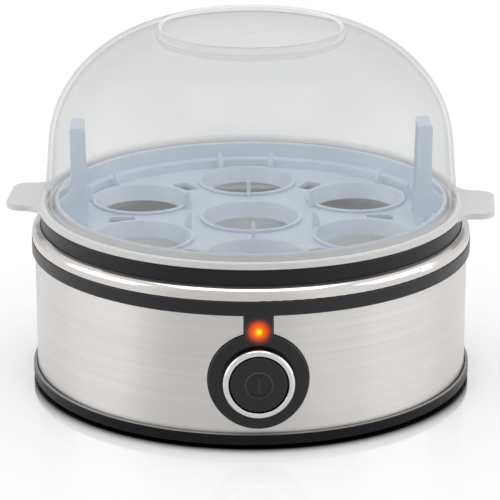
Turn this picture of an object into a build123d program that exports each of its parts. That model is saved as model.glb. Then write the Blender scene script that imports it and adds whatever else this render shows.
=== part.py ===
from build123d import *
import math
import os

# Electric egg cooker, in millimetres. The origin is on the table under the middle of the body,
# +Z is up, and the push button looks along -Y.

# Clearances and cutters
FIT_GAP = 0.3
PRESS_GAP = 0.1
OVERRUN = 6.0

# Rubber feet
FOOT_STAND = 1.2
FOOT_RADIUS = 7.0
FOOT_TAPER = 0.6
FOOT_SINK = 0.8
FOOT_INSET = 25.1

# Black base with the low skirt that the steel sleeve stands in
BASE_PROUD = 1.6
BASE_FLOOR = 2.4
BASE_ROUND = 0.8
SHELL_SEAT_RISE = 3.2
SKIRT_LIP_RISE = 1.0
SKIRT_LIP_ROUND_SHARE = 0.25
SPIGOT_WALL = 2.0
BASE_SPIGOT_RISE = 6.0
BOSS_RISE = 3.0
VENT_WIDTH = 2.4
VENT_LENGTH = 28.0
VENT_PITCH = 6.0
VENT_COUNT = 7

# Brushed steel sleeve
SHELL_RADIUS = 81.5
SHELL_WALL = 0.6
SHELL_HEIGHT = 46.8

# Black band, with the neck and round panel that hang from it
BAND_PROUD = 1.2
BAND_HEIGHT = 5.3
BAND_OVERLAP = 1.5
BAND_ROUND = 0.4
NECK_WIDTH = 10.1
PANEL_RADIUS = 17.9
PANEL_ROUND = 0.5
PANEL_FOOT_GAP = 1.95

# Polished rim ring
RIM_PROUD = 1.0
RIM_SHEET = 0.7
RIM_HEIGHT = 4.8
RIM_SHOULDER_FALL = 0.9
RIM_ROUND = 2.6
RIM_FOOT_ROUND = 0.35

# Upper frame, whose collar shows under the lid
COLLAR_STEP = 3.2
COLLAR_WALL = 2.3
COLLAR_STAND = 5.9
COLLAR_DEPTH = 5.5
COLLAR_ROUND = 0.9
FRAME_WALL = 2.2
FRAME_SPIGOT_DROP = 3.0
LEDGE_THICKNESS = 2.0
LEDGE_GAP = 0.6
POST_RADIUS = 4.0

# Base screws
SCREW_HEAD_RADIUS = 3.0
SCREW_HEAD_HEIGHT = 1.8
SCREW_HEAD_SINK = 3.0
SCREW_RADIUS = 1.5
SCREW_LENGTH = 16.0
SCREW_BORE_SPARE = 2.0

# Small screws of the inner pieces
SMALL_HEAD_RADIUS = 2.4
SMALL_HEAD_HEIGHT = 1.5
SMALL_SCREW_RADIUS = 1.2
SMALL_SCREW_GRIP = 2.6

# Heating plate: a drawn steel dish on a silicone gasket
GASKET_THICKNESS = 1.0
PLATE_SHEET = 0.8
PLATE_FLANGE = 6.2
DISH_DEPTH = 13.0
DISH_DRAFT = 8.0
DISH_FLOOR_ROUND = 4.0
DISH_EDGE_ROUND = 1.2

# Heat spreader, ring heater and the clamp that holds the dish down
SPREADER_INSET = 12.5
SPREADER_THICKNESS = 4.0
ELEMENT_INSET = 16.0
ELEMENT_WIDTH = 7.0
ELEMENT_HEIGHT = 6.0
ELEMENT_ROUND = 2.4
ELEMENT_ARC = 310.0
PIN_RADIUS = 2.0
PIN_DROP = 8.0
PIN_ANGLE = 4.0
STUD_RADIUS = 2.5
STUD_SPARE = 2.0
CLAMP_WIDTH = 12.0
CLAMP_SHEET = 1.5
CLAMP_GAP = 0.5
CLAMP_LEG_GAP = 1.6
CLAMP_FOOT = 3.2
CLAMP_BEND = 0.6
NUT_RADIUS = 4.6
NUT_HEIGHT = 4.0

# Thermostat and thermal fuse, both on the spreader's underside
THERMOSTAT_Y = 20.0
THERMOSTAT_RADIUS = 8.0
THERMOSTAT_HEIGHT = 7.0
FLANGE_LENGTH = 31.0
FLANGE_WIDTH = 9.0
FLANGE_THICKNESS = 1.0
FLANGE_HOLE_PITCH = 24.0
TAB_WIDTH = 4.8
TAB_THICKNESS = 0.8
TAB_LENGTH = 7.0
TAB_PITCH = 9.0
FUSE_Y = -20.0
FUSE_RADIUS = 2.0
FUSE_LENGTH = 12.0
FUSE_LEAD_RADIUS = 0.5
FUSE_LEAD_LENGTH = 8.0
CLIP_WIDTH = 6.0
CLIP_SHEET = 1.0
CLIP_FOOT = 8.0

# Push button, its chrome ring and its guide
RING_RADIUS = 12.8
RING_WIDTH = 2.1
RING_PROUD = 3.5
RING_ROUND = 1.1
RING_INNER_ROUND = 0.3
RING_MOAT = 0.7
RING_MOAT_DEPTH = 1.6
SHELF_DEPTH = 1.9
SHELF_WIDTH = 0.9
GUIDE_WALL = 1.6
GUIDE_LENGTH = 9.0
CAP_PROUD = 3.55
CAP_FACE = 2.2
CAP_WALL = 1.6
CAP_ROUND = 1.2
CAP_FLANGE = 1.5
MARK_RADIUS = 5.0
MARK_INNER = 4.1
MARK_RISE = 0.45
MARK_ROUND = 0.3
MARK_BAR_WIDTH = 1.0
MARK_BAR_HEIGHT = 6.2
MARK_BAR_SINK = 0.15
STEM_RADIUS = 3.6
STEM_SOCKET = 5.0
BUTTON_TRAVEL = 3.0

# Switch behind the button, its spring and its bracket
SWITCH_WIDTH = 14.0
SWITCH_HEIGHT = 12.0
SWITCH_DEPTH = 16.0
SWITCH_SETBACK = 22.9
SWITCH_FLANGE = 3.0
SWITCH_FLANGE_THICKNESS = 1.5
PLUNGER_RADIUS = 2.0
PLUNGER_HOLD = 6.0
SPRING_LENGTH = 8.0
SPRING_RADIUS = 3.0
SPRING_WIRE = 0.7
SPRING_TURNS = 5
BRACKET_WIDTH = 26.0
BRACKET_SHEET = 1.5
BRACKET_FOOT = 18.0
BRACKET_MARGIN = 5.0
BRACKET_SCREW_PITCH = 16.0
BRACKET_SCREW_SHARE = 0.65

# Indicator lens and lamp in the neck
LENS_DROP = 5.6
LENS_WIDTH = 7.0
LENS_HEIGHT = 4.5
LENS_PROUD = 0.7
LENS_ROUND = 0.5
SOCKET_RADIUS = 3.8
SOCKET_LENGTH = 8.0
LAMP_RADIUS = 2.0
LAMP_LENGTH = 9.0
LAMP_LEAD_RADIUS = 0.35
LAMP_LEAD_LENGTH = 6.0
LAMP_LEAD_PITCH = 2.0

# Tone board on the base
BOARD_SETBACK = 36.9
BOARD_WIDTH = 34.0
BOARD_LENGTH = 46.0
BOARD_THICKNESS = 1.6
BOARD_MARGIN = 4.0
STANDOFF_RISE = 5.0
STANDOFF_RADIUS = 3.0
BOARD_PLACE_SHARE = 0.2
BUZZER_RADIUS = 7.0
BUZZER_HEIGHT = 9.0
BUZZER_HOLE_RADIUS = 1.5
BUZZER_HOLE_DEPTH = 3.0
CAPACITOR_WIDTH = 8.0
CAPACITOR_LENGTH = 18.0
CAPACITOR_HEIGHT = 12.0

# Terminal block for the mains lead
BLOCK_SETBACK = 30.9
BLOCK_WIDTH = 30.0
BLOCK_DEPTH = 18.0
BLOCK_HEIGHT = 13.0
BLOCK_WAY_PITCH = 9.0
BLOCK_WAY_RADIUS = 1.8
BLOCK_WELL_RADIUS = 2.2
BLOCK_WELL_DEPTH = 4.0
BLOCK_WELL_PITCH = 9.0
BLOCK_SCREW_LENGTH = 14.4

# Gland for the mains lead at the back
GLAND_Z = 22.0
GLAND_BORE = 3.3
GLAND_NECK_RADIUS = 5.4
GLAND_FLANGE_RADIUS = 7.4
GLAND_FLANGE = 1.8
GLAND_PROUD = 5.2
GLAND_NOSE_RADIUS = 5.2
GLAND_TAIL = 3.4

# Inner wiring
WIRE_RADIUS = 1.1
WIRE_ARC_SHARE = 0.45

# Egg tray
TRAY_WALL = 1.6
TRAY_DROP = 2.0
TRAY_GAP = 0.9
TRAY_RIM_GAP = 1.3
TRAY_RIM_RISE = 7.5
TRAY_ROUND = 0.6
SEAT_EDGE_GAP = 1.1
SEAT_COUNT = 6
SEAT_TOP_RADIUS = 18.0
SEAT_FOOT_RADIUS = 15.5
SEAT_WALL = 1.4
SEAT_LIP = 1.2
SEAT_DROP = 2.9
FIN_ANGLE = 30.0
FIN_INNER = 18.8
FIN_WIDTH = 2.4
FIN_THICKNESS = 1.4
FIN_RISE = 6.6
STEAM_OFFSET = 1.3
STEAM_WIDTH = 6.4
STEAM_LENGTH = 10.0
STEAM_ROUND = 1.5
GRIP_INSET = 6.2
GRIP_DEPTH = 6.2
GRIP_LEAN = 1.1
GRIP_WIDTH = 14.0
GRIP_RISE = 37.6
GRIP_WALL = 1.6
GRIP_CAP = 2.2
GRIP_ROUND = 0.9
GUSSET_RISE = 13.0
GUSSET_ROUND = 3.0

# Domed lid with two ears
LID_WALL = 1.8
LID_FLANGE_PROUD = 0.5
LID_FLANGE = 2.3
LID_FLANGE_ROUND = 0.5
LID_FOOT_STEP = 2.3
LID_SIDE_STEP = 1.98
LID_SIDE_RISE = 26.3
LID_SHOULDER_STEP = 9.52
LID_SHOULDER_RISE = 49.8
LID_CROWN_STEP = 30.0
LID_CROWN_RISE = 68.15
LID_TOP_RISE = 68.8
LID_BEAD_WIDTH = 3.2
LID_DISH_DEPTH = 3.2
LID_DISH_ROUND = 0.8
LID_LIP = 1.6
LID_LIP_DROP = 2.8
LID_LIP_GAP = 0.4
LID_GATE_RADIUS = 1.6
LID_GATE_RISE = 0.4
LID_TURN = -5.5
EAR_REACH = 11.6
EAR_WIDTH = 30.0
EAR_CORNER = 6.0
EAR_ROOT = 8.0

# Heights worked out from the stack of pieces
BASE_Z = FOOT_STAND
FLOOR_Z = BASE_Z + BASE_FLOOR
BOSS_Z = FLOOR_Z + BOSS_RISE
SEAT_Z = BASE_Z + SHELL_SEAT_RISE
PANEL_Z = SEAT_Z + SKIRT_LIP_RISE + PANEL_FOOT_GAP + PANEL_RADIUS
SHELL_TOP_Z = SEAT_Z + SHELL_HEIGHT
BAND_Z = SHELL_TOP_Z - BAND_OVERLAP
BAND_TOP_Z = BAND_Z + BAND_HEIGHT
LENS_Z = BAND_Z - LENS_DROP
RIM_TOP_Z = BAND_TOP_Z + RIM_HEIGHT
COLLAR_TOP_Z = RIM_TOP_Z + COLLAR_STAND
LEDGE_Z = COLLAR_TOP_Z - COLLAR_DEPTH
LEDGE_UNDER_Z = LEDGE_Z - LEDGE_THICKNESS
PLATE_UNDER_Z = LEDGE_Z + GASKET_THICKNESS
PLATE_Z = PLATE_UNDER_Z + PLATE_SHEET
DISH_Z = PLATE_Z - DISH_DEPTH
DISH_UNDER_Z = DISH_Z - PLATE_SHEET
SPREADER_Z = DISH_UNDER_Z - SPREADER_THICKNESS
ELEMENT_Z = SPREADER_Z - ELEMENT_HEIGHT
CLAMP_TOP_Z = ELEMENT_Z - CLAMP_GAP
CLAMP_Z = CLAMP_TOP_Z - CLAMP_SHEET
NUT_Z = CLAMP_Z - NUT_HEIGHT
STUD_Z = NUT_Z - STUD_SPARE
PIN_Z = ELEMENT_Z - PIN_DROP
BOARD_Z = FLOOR_Z + STANDOFF_RISE
BOARD_TOP_Z = BOARD_Z + BOARD_THICKNESS
DECK_Z = PLATE_Z - TRAY_DROP
DECK_UNDER_Z = DECK_Z - TRAY_WALL

# Radii and distances from the axis worked out from the pieces that meet there
SHELL_INNER = SHELL_RADIUS - SHELL_WALL
SPIGOT_RADIUS = SHELL_INNER - FIT_GAP
BASE_RADIUS = SHELL_RADIUS + BASE_PROUD
BAND_RADIUS = SHELL_RADIUS + BAND_PROUD
RIM_RADIUS = SHELL_RADIUS + RIM_PROUD
COLLAR_RADIUS = RIM_RADIUS - COLLAR_STEP
COLLAR_INNER = COLLAR_RADIUS - COLLAR_WALL
FRAME_INNER = SPIGOT_RADIUS - FRAME_WALL
PLATE_RADIUS = COLLAR_INNER - FIT_GAP
DISH_RADIUS = PLATE_RADIUS - PLATE_FLANGE
LEDGE_INNER = DISH_RADIUS + PLATE_SHEET + LEDGE_GAP
SPREADER_RADIUS = DISH_RADIUS - SPREADER_INSET
ELEMENT_RADIUS = SPREADER_RADIUS - ELEMENT_INSET
POST_RING_RADIUS = SPIGOT_RADIUS - FIT_GAP - POST_RADIUS
FOOT_RING_RADIUS = BASE_RADIUS - FOOT_INSET
RING_INNER = RING_RADIUS - RING_WIDTH
GUIDE_BORE = RING_RADIUS - SHELF_WIDTH
SHELF_REACH = SHELL_INNER - SHELF_DEPTH
CAP_REACH = BAND_RADIUS + CAP_PROUD
SWITCH_REACH = SHELL_INNER - SWITCH_SETBACK
STEM_REACH = SWITCH_REACH + SPRING_LENGTH
BOARD_X = SHELL_INNER - BOARD_SETBACK
BLOCK_Y = SHELL_INNER - BLOCK_SETBACK
TRAY_OUTER = DISH_RADIUS - TRAY_GAP
TRAY_INNER = TRAY_OUTER - TRAY_WALL
LIP_RADIUS = COLLAR_INNER - LID_LIP_GAP
LIP_INNER = LIP_RADIUS - LID_LIP
TRAY_RIM_RADIUS = LIP_INNER - TRAY_RIM_GAP
SEAT_RING_RADIUS = TRAY_INNER - SEAT_TOP_RADIUS - SEAT_WALL - SEAT_EDGE_GAP
STEAM_RING_RADIUS = SEAT_RING_RADIUS + STEAM_OFFSET
GRIP_OUTER = TRAY_RIM_RADIUS - GRIP_INSET
GRIP_INNER_FOOT = GRIP_OUTER - GRIP_DEPTH
GRIP_INNER_TOP = GRIP_INNER_FOOT + GRIP_LEAN
LID_FLANGE_RADIUS = COLLAR_RADIUS + LID_FLANGE_PROUD
LID_FOOT_RADIUS = LID_FLANGE_RADIUS - LID_FOOT_STEP
LID_SIDE_RADIUS = LID_FOOT_RADIUS - LID_SIDE_STEP
LID_SHOULDER_RADIUS = LID_SIDE_RADIUS - LID_SHOULDER_STEP
LID_CROWN_RADIUS = LID_SHOULDER_RADIUS - LID_CROWN_STEP
LID_DISH_RADIUS = LID_CROWN_RADIUS - LID_BEAD_WIDTH
EAR_RADIUS = LID_FLANGE_RADIUS + EAR_REACH
DISH_SLOPE = math.tan(math.radians(DISH_DRAFT))

# Directions of the four feet and posts, from the front left one on
CORNERS = {"front_left": 225.0, "front_right": 315.0, "rear_right": 45.0, "rear_left": 135.0}

UPRIGHT = (Align.CENTER, Align.CENTER, Align.MIN)


def turned(points, radii=None, arc=360.0):
    """A solid turned about the Z axis from (radius, height) points, with a rounding for each."""
    corners = [(radius, 0, height) for radius, height in points]
    outline = FilletPolyline(*corners, radius=radii or 0, close=True)
    return revolve(make_face(outline), Axis.Z, arc)


def turned_outward(points, height, side, radii=None):
    """A solid turned about a level axis from (radius, reach) points. Side -1 looks to the front."""
    corners = [(radius, side * reach, 0) for radius, reach in points]
    outline = FilletPolyline(*corners, radius=radii or 0, close=True)
    return Pos(0, 0, height) * revolve(make_face(outline), Axis.Y)


def rod(radius, bottom, top, x=0, y=0):
    """An upright round bar between two heights."""
    return Pos(x, y, bottom) * Cylinder(radius, top - bottom, align=UPRIGHT)


def block(width, depth, bottom, top, x=0, y=0):
    """An upright box between two heights."""
    return Pos(x, y, bottom) * Box(width, depth, top - bottom, align=UPRIGHT)


def level_rod(radius, back, front, height, x=0):
    """A round bar along Y, between two distances in front of the axis."""
    bar = Cylinder(radius, front - back, align=UPRIGHT)
    return Pos(x, -back, height) * Rot(X=90) * bar


def screw(head_radius, head_height, radius, length, head_z, x=0, y=0, up=True):
    """A plain screw whose head bears at head_z, with its shank upward or downward."""
    way = 1 if up else -1
    ends = sorted((head_z, head_z - way * head_height))
    head = rod(head_radius, *ends, x, y)
    shank = rod(radius, *sorted((head_z, head_z + way * length)), x, y)
    return head + shank


def small_screw(grip, head_z, x=0, y=0, up=True):
    """A small screw that goes through a thickness and on into the piece behind it."""
    length = grip + SMALL_SCREW_GRIP
    return screw(SMALL_HEAD_RADIUS, SMALL_HEAD_HEIGHT, SMALL_SCREW_RADIUS, length, head_z, x, y, up)


def around(ring_radius, angle):
    """The X and Y of a place on a ring."""
    turn = math.radians(angle)
    return ring_radius * math.cos(turn), ring_radius * math.sin(turn)


def post_places():
    return [around(POST_RING_RADIUS, angle) for angle in CORNERS.values()]


def board_holes():
    x_off = BOARD_WIDTH / 2 - BOARD_MARGIN
    y_off = BOARD_LENGTH / 2 - BOARD_MARGIN
    return [(BOARD_X + x, y) for x in (-x_off, x_off) for y in (-y_off, y_off)]


def bracket_holes():
    y = -SWITCH_REACH + SWITCH_FLANGE_THICKNESS + BRACKET_FOOT * BRACKET_SCREW_SHARE
    return [(side * BRACKET_SCREW_PITCH / 2, y) for side in (-1, 1)]


def block_holes():
    return [(side * BLOCK_WAY_PITCH / 2, BLOCK_Y) for side in (-1, 1)]


# Base and feet
def base_pan():
    lip_inner = SHELL_RADIUS + FIT_GAP
    lip_z = SEAT_Z + SKIRT_LIP_RISE
    spigot_z = SEAT_Z + BASE_SPIGOT_RISE
    spigot_inner = SPIGOT_RADIUS - SPIGOT_WALL
    outline = [
        (0, BASE_Z),
        (BASE_RADIUS, BASE_Z),
        (BASE_RADIUS, lip_z),
        (lip_inner, lip_z),
        (lip_inner, SEAT_Z),
        (SPIGOT_RADIUS, SEAT_Z),
        (SPIGOT_RADIUS, spigot_z),
        (spigot_inner, spigot_z),
        (spigot_inner, FLOOR_Z),
        (0, FLOOR_Z),
    ]
    lip_round = (BASE_RADIUS - lip_inner) * SKIRT_LIP_ROUND_SHARE
    rounds = [0, BASE_ROUND, lip_round, lip_round, 0, 0, 0, 0, 0, 0]
    pan = turned(outline, rounds)
    guide_back = SHELL_INNER - GUIDE_LENGTH
    pan -= level_rod(RING_RADIUS + GUIDE_WALL + FIT_GAP, guide_back - FIT_GAP, SHELL_INNER, PANEL_Z)
    for x, y in post_places():
        pan += rod(POST_RADIUS, BASE_Z, BOSS_Z, x, y)
        pan -= rod(POST_RADIUS + FIT_GAP, BOSS_Z, spigot_z + OVERRUN, x, y)
        pan -= rod(SCREW_HEAD_RADIUS + FIT_GAP, BASE_Z - OVERRUN, BASE_Z + SCREW_HEAD_SINK, x, y)
        pan -= rod(SCREW_RADIUS + FIT_GAP, BASE_Z, BOSS_Z + OVERRUN, x, y)
    for angle in CORNERS.values():
        x, y = around(FOOT_RING_RADIUS, angle)
        pan -= rod(FOOT_RADIUS + PRESS_GAP, BASE_Z - OVERRUN, BASE_Z + FOOT_SINK, x, y)
    for x, y in board_holes():
        pan += rod(STANDOFF_RADIUS, FLOOR_Z, BOARD_Z, x, y)
        pan -= rod(SMALL_SCREW_RADIUS + PRESS_GAP, BOARD_Z - SMALL_SCREW_GRIP, BOARD_Z + OVERRUN, x, y)
    for x, y in bracket_holes():
        pan += rod(STANDOFF_RADIUS, FLOOR_Z, BOSS_Z, x, y)
        pan -= rod(SMALL_SCREW_RADIUS + PRESS_GAP, BOSS_Z - SMALL_SCREW_GRIP, BOSS_Z + OVERRUN, x, y)
    for x, y in block_holes():
        block_pilot = FLOOR_Z + BLOCK_HEIGHT - BLOCK_SCREW_LENGTH
        pan -= rod(SMALL_SCREW_RADIUS + PRESS_GAP, block_pilot, FLOOR_Z + OVERRUN, x, y)
    for index in range(VENT_COUNT):
        y = (index - (VENT_COUNT - 1) / 2) * VENT_PITCH
        slot = extrude(SlotOverall(VENT_LENGTH, VENT_WIDTH), BASE_FLOOR + 2 * OVERRUN)
        pan -= Pos(0, y, BASE_Z - OVERRUN) * slot
    return pan


def foot(angle):
    x, y = around(FOOT_RING_RADIUS, angle)
    height = FOOT_STAND + FOOT_SINK
    return Pos(x, y, 0) * Cone(FOOT_RADIUS - FOOT_TAPER, FOOT_RADIUS, height, align=UPRIGHT)


def base_screws():
    head_z = BASE_Z + SCREW_HEAD_SINK
    size = (SCREW_HEAD_RADIUS, SCREW_HEAD_HEIGHT, SCREW_RADIUS, SCREW_LENGTH)
    return Compound([screw(*size, head_z, x, y) for x, y in post_places()])


# Body: sleeve, band with panel, and rim
def neck_prism(grow):
    """The panel's neck seen from the front, as a prism from the axis to the front."""
    neck = Rectangle(NECK_WIDTH + 2 * grow, BAND_TOP_Z - PANEL_Z, align=(Align.CENTER, Align.MIN))
    return extrude(Plane.XZ * Pos(0, PANEL_Z) * neck, BASE_RADIUS + OVERRUN)


def disc_prism(grow):
    """The round panel seen from the front, as a prism from the axis to the front."""
    return extrude(Plane.XZ * Pos(0, PANEL_Z) * Circle(PANEL_RADIUS + grow), BASE_RADIUS + OVERRUN)


def gland_hole():
    return level_rod(GLAND_NECK_RADIUS + PRESS_GAP, -SHELL_RADIUS - OVERRUN, -SHELL_INNER + OVERRUN, GLAND_Z)


def body_shell():
    tube = [
        (SHELL_INNER, SEAT_Z),
        (SHELL_RADIUS, SEAT_Z),
        (SHELL_RADIUS, SHELL_TOP_Z),
        (SHELL_INNER, SHELL_TOP_Z),
    ]
    return turned(tube) - neck_prism(FIT_GAP) - disc_prism(FIT_GAP) - gland_hole()


def control_panel():
    lip_inner = SHELL_RADIUS + FIT_GAP
    band = turned(
        [
            (lip_inner, BAND_Z),
            (BAND_RADIUS, BAND_Z),
            (BAND_RADIUS, BAND_TOP_Z),
            (SHELL_INNER, BAND_TOP_Z),
            (SHELL_INNER, SHELL_TOP_Z),
            (lip_inner, SHELL_TOP_Z),
        ],
        [0, BAND_ROUND, BAND_ROUND, 0, 0, 0],
    )
    patch_foot = PANEL_Z - PANEL_RADIUS - OVERRUN
    sleeve = turned(
        [
            (SHELL_INNER, patch_foot),
            (BAND_RADIUS, patch_foot),
            (BAND_RADIUS, BAND_TOP_Z - BAND_ROUND),
            (SHELL_INNER, BAND_TOP_Z - BAND_ROUND),
        ]
    )
    neck = sleeve & neck_prism(0)
    neck_sides = neck.faces().sort_by(Axis.Y)[0].edges().filter_by(GeomType.LINE)
    disc = sleeve & disc_prism(0)
    disc_edge = disc.faces().sort_by(Axis.Y)[0].edges()
    panel = band + fillet(neck_sides, PANEL_ROUND) + fillet(disc_edge, PANEL_ROUND)
    guide_back = SHELL_INNER - GUIDE_LENGTH
    panel += level_rod(RING_RADIUS + GUIDE_WALL, guide_back, SHELL_INNER, PANEL_Z)
    panel += level_rod(SOCKET_RADIUS, SHELL_INNER - SOCKET_LENGTH, SHELL_INNER + BAND_ROUND, LENS_Z)
    panel -= level_rod(GUIDE_BORE, guide_back - OVERRUN, BAND_RADIUS + OVERRUN, PANEL_Z)
    panel -= level_rod(RING_RADIUS + PRESS_GAP, SHELF_REACH, BAND_RADIUS + OVERRUN, PANEL_Z)
    moat_floor = BAND_RADIUS - RING_MOAT_DEPTH
    panel -= level_rod(RING_RADIUS + RING_MOAT, moat_floor, BAND_RADIUS + OVERRUN, PANEL_Z)
    panel -= level_rod(LAMP_RADIUS + PRESS_GAP, SHELL_INNER - SOCKET_LENGTH - OVERRUN, SHELL_INNER, LENS_Z)
    return panel - lens_prism(PRESS_GAP, SHELL_INNER, BAND_RADIUS + OVERRUN)


def lens_prism(grow, back, front):
    """The oval of the lens, as a prism between two distances in front of the axis."""
    oval = Pos(0, LENS_Z) * Ellipse(LENS_WIDTH / 2 + grow, LENS_HEIGHT / 2 + grow)
    return Pos(0, -back, 0) * extrude(Plane.XZ * oval, front - back)


def rim_ring():
    collar_hole = COLLAR_RADIUS + FIT_GAP
    under = RIM_TOP_Z - RIM_SHEET
    outline = [
        (RIM_RADIUS - RIM_SHEET, BAND_TOP_Z),
        (RIM_RADIUS, BAND_TOP_Z),
        (RIM_RADIUS, RIM_TOP_Z - RIM_SHOULDER_FALL),
        (collar_hole, RIM_TOP_Z),
        (collar_hole, under),
        (RIM_RADIUS - RIM_SHEET, under - RIM_SHOULDER_FALL),
    ]
    return turned(outline, [0, RIM_FOOT_ROUND, RIM_ROUND, 0, 0, RIM_ROUND - RIM_SHEET])


def upper_frame():
    spigot_z = SHELL_TOP_Z - FRAME_SPIGOT_DROP
    shoulder_z = RIM_TOP_Z - RIM_SHEET - RIM_SHOULDER_FALL
    outline = [
        (FRAME_INNER, spigot_z),
        (SPIGOT_RADIUS, spigot_z),
        (SPIGOT_RADIUS, shoulder_z),
        (COLLAR_RADIUS, shoulder_z),
        (COLLAR_RADIUS, COLLAR_TOP_Z),
        (COLLAR_INNER, COLLAR_TOP_Z),
        (COLLAR_INNER, LEDGE_Z),
        (LEDGE_INNER, LEDGE_Z),
        (LEDGE_INNER, LEDGE_UNDER_Z),
        (FRAME_INNER, LEDGE_UNDER_Z),
    ]
    frame = turned(outline, [0, 0, 0, 0, COLLAR_ROUND, COLLAR_ROUND, 0, 0, 0, 0])
    bore_top = BASE_Z + SCREW_HEAD_SINK + SCREW_LENGTH + SCREW_BORE_SPARE
    for x, y in post_places():
        frame += rod(POST_RADIUS, BOSS_Z, LEDGE_UNDER_Z, x, y)
        frame -= rod(SCREW_RADIUS + PRESS_GAP, BOSS_Z - OVERRUN, bore_top, x, y)
    return frame


# Heater
def plate_gasket():
    inner = LEDGE_INNER + LEDGE_GAP
    outline = [
        (inner, LEDGE_Z),
        (PLATE_RADIUS, LEDGE_Z),
        (PLATE_RADIUS, PLATE_UNDER_Z),
        (inner, PLATE_UNDER_Z),
    ]
    return turned(outline)


def heating_plate():
    floor_radius = DISH_RADIUS - DISH_DEPTH * DISH_SLOPE
    outline = [
        (0, DISH_Z),
        (floor_radius, DISH_Z),
        (DISH_RADIUS, PLATE_Z),
        (PLATE_RADIUS, PLATE_Z),
        (PLATE_RADIUS, PLATE_UNDER_Z),
        (DISH_RADIUS + PLATE_SHEET, PLATE_UNDER_Z),
        (floor_radius + PLATE_SHEET, DISH_UNDER_Z),
        (0, DISH_UNDER_Z),
    ]
    edge_round = max(DISH_EDGE_ROUND - PLATE_SHEET, 0)
    rounds = [0, DISH_FLOOR_ROUND, DISH_EDGE_ROUND, 0, 0, edge_round, DISH_FLOOR_ROUND + PLATE_SHEET, 0]
    return turned(outline, rounds)


def thermostat_holes():
    return [(side * FLANGE_HOLE_PITCH / 2, THERMOSTAT_Y) for side in (-1, 1)]


def fuse_hole():
    return 0, FUSE_Y + FUSE_RADIUS + CLIP_SHEET + CLIP_FOOT / 2


def heat_spreader():
    disc = rod(SPREADER_RADIUS, SPREADER_Z, DISH_UNDER_Z)
    for x, y in (*thermostat_holes(), fuse_hole()):
        disc -= rod(SMALL_SCREW_RADIUS + PRESS_GAP, SPREADER_Z - OVERRUN, SPREADER_Z + SMALL_SCREW_GRIP, x, y)
    return disc


def heating_element():
    inner = ELEMENT_RADIUS - ELEMENT_WIDTH / 2
    outer = ELEMENT_RADIUS + ELEMENT_WIDTH / 2
    section = [(inner, SPREADER_Z), (outer, SPREADER_Z), (outer, ELEMENT_Z), (inner, ELEMENT_Z)]
    ring = turned(section, [0, 0, ELEMENT_ROUND, ELEMENT_ROUND], ELEMENT_ARC)
    for angle in (PIN_ANGLE, ELEMENT_ARC - PIN_ANGLE):
        ring += rod(PIN_RADIUS, PIN_Z, SPREADER_Z - ELEMENT_HEIGHT / 2, *around(ELEMENT_RADIUS, angle))
    return Rot(Z=element_start()) * ring


def element_start():
    """The turn that puts the ring's gap at the back."""
    return 90 + (360 - ELEMENT_ARC) / 2


def pin_places():
    ends = (element_start() + PIN_ANGLE, element_start() + ELEMENT_ARC - PIN_ANGLE)
    return [around(ELEMENT_RADIUS, angle) for angle in ends]


def plate_stud():
    return rod(STUD_RADIUS, STUD_Z, SPREADER_Z)


def clamp_bar():
    leg = DISH_RADIUS + PLATE_SHEET + CLAMP_LEG_GAP
    right = [
        (leg + CLAMP_SHEET, CLAMP_Z),
        (leg + CLAMP_SHEET, LEDGE_UNDER_Z - CLAMP_SHEET),
        (leg + CLAMP_SHEET + CLAMP_FOOT, LEDGE_UNDER_Z - CLAMP_SHEET),
        (leg + CLAMP_SHEET + CLAMP_FOOT, LEDGE_UNDER_Z),
        (leg, LEDGE_UNDER_Z),
        (leg, CLAMP_TOP_Z),
    ]
    left = [(-x, z) for x, z in reversed(right)]
    bends = [CLAMP_BEND + CLAMP_SHEET, CLAMP_BEND, 0, 0, CLAMP_BEND + CLAMP_SHEET, CLAMP_BEND]
    outline = FilletPolyline(*right, *left, radius=[*bends, *reversed(bends)], close=True)
    strip = extrude(Plane.XZ * make_face(outline), CLAMP_WIDTH / 2, both=True)
    return strip - rod(STUD_RADIUS + PRESS_GAP, CLAMP_Z - OVERRUN, CLAMP_TOP_Z + OVERRUN)


def clamp_nut():
    nut = extrude(RegularPolygon(NUT_RADIUS, 6), NUT_HEIGHT)
    return Pos(0, 0, NUT_Z) * nut - rod(STUD_RADIUS + PRESS_GAP, NUT_Z - OVERRUN, CLAMP_Z + OVERRUN)


def thermostat():
    flange_z = SPREADER_Z - FLANGE_THICKNESS
    can_z = flange_z - THERMOSTAT_HEIGHT
    body = block(FLANGE_LENGTH, FLANGE_WIDTH, flange_z, SPREADER_Z, 0, THERMOSTAT_Y)
    body += rod(THERMOSTAT_RADIUS, can_z, SPREADER_Z, 0, THERMOSTAT_Y)
    for side in (-1, 1):
        body += block(TAB_THICKNESS, TAB_WIDTH, can_z - TAB_LENGTH, can_z, side * TAB_PITCH / 2, THERMOSTAT_Y)
    for x, y in thermostat_holes():
        body -= rod(SMALL_SCREW_RADIUS + PRESS_GAP, flange_z - OVERRUN, SPREADER_Z + OVERRUN, x, y)
    return body


def thermostat_screws():
    head_z = SPREADER_Z - FLANGE_THICKNESS
    length = FLANGE_THICKNESS - FIT_GAP
    return Compound([small_screw(length, head_z, x, y) for x, y in thermostat_holes()])


def thermal_fuse():
    axis_z = SPREADER_Z - FUSE_RADIUS - PRESS_GAP
    body = Cylinder(FUSE_RADIUS, FUSE_LENGTH)
    lead = Cylinder(FUSE_LEAD_RADIUS, FUSE_LENGTH + 2 * FUSE_LEAD_LENGTH)
    return Pos(0, FUSE_Y, axis_z) * Rot(Y=90) * (body + lead)


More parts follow.
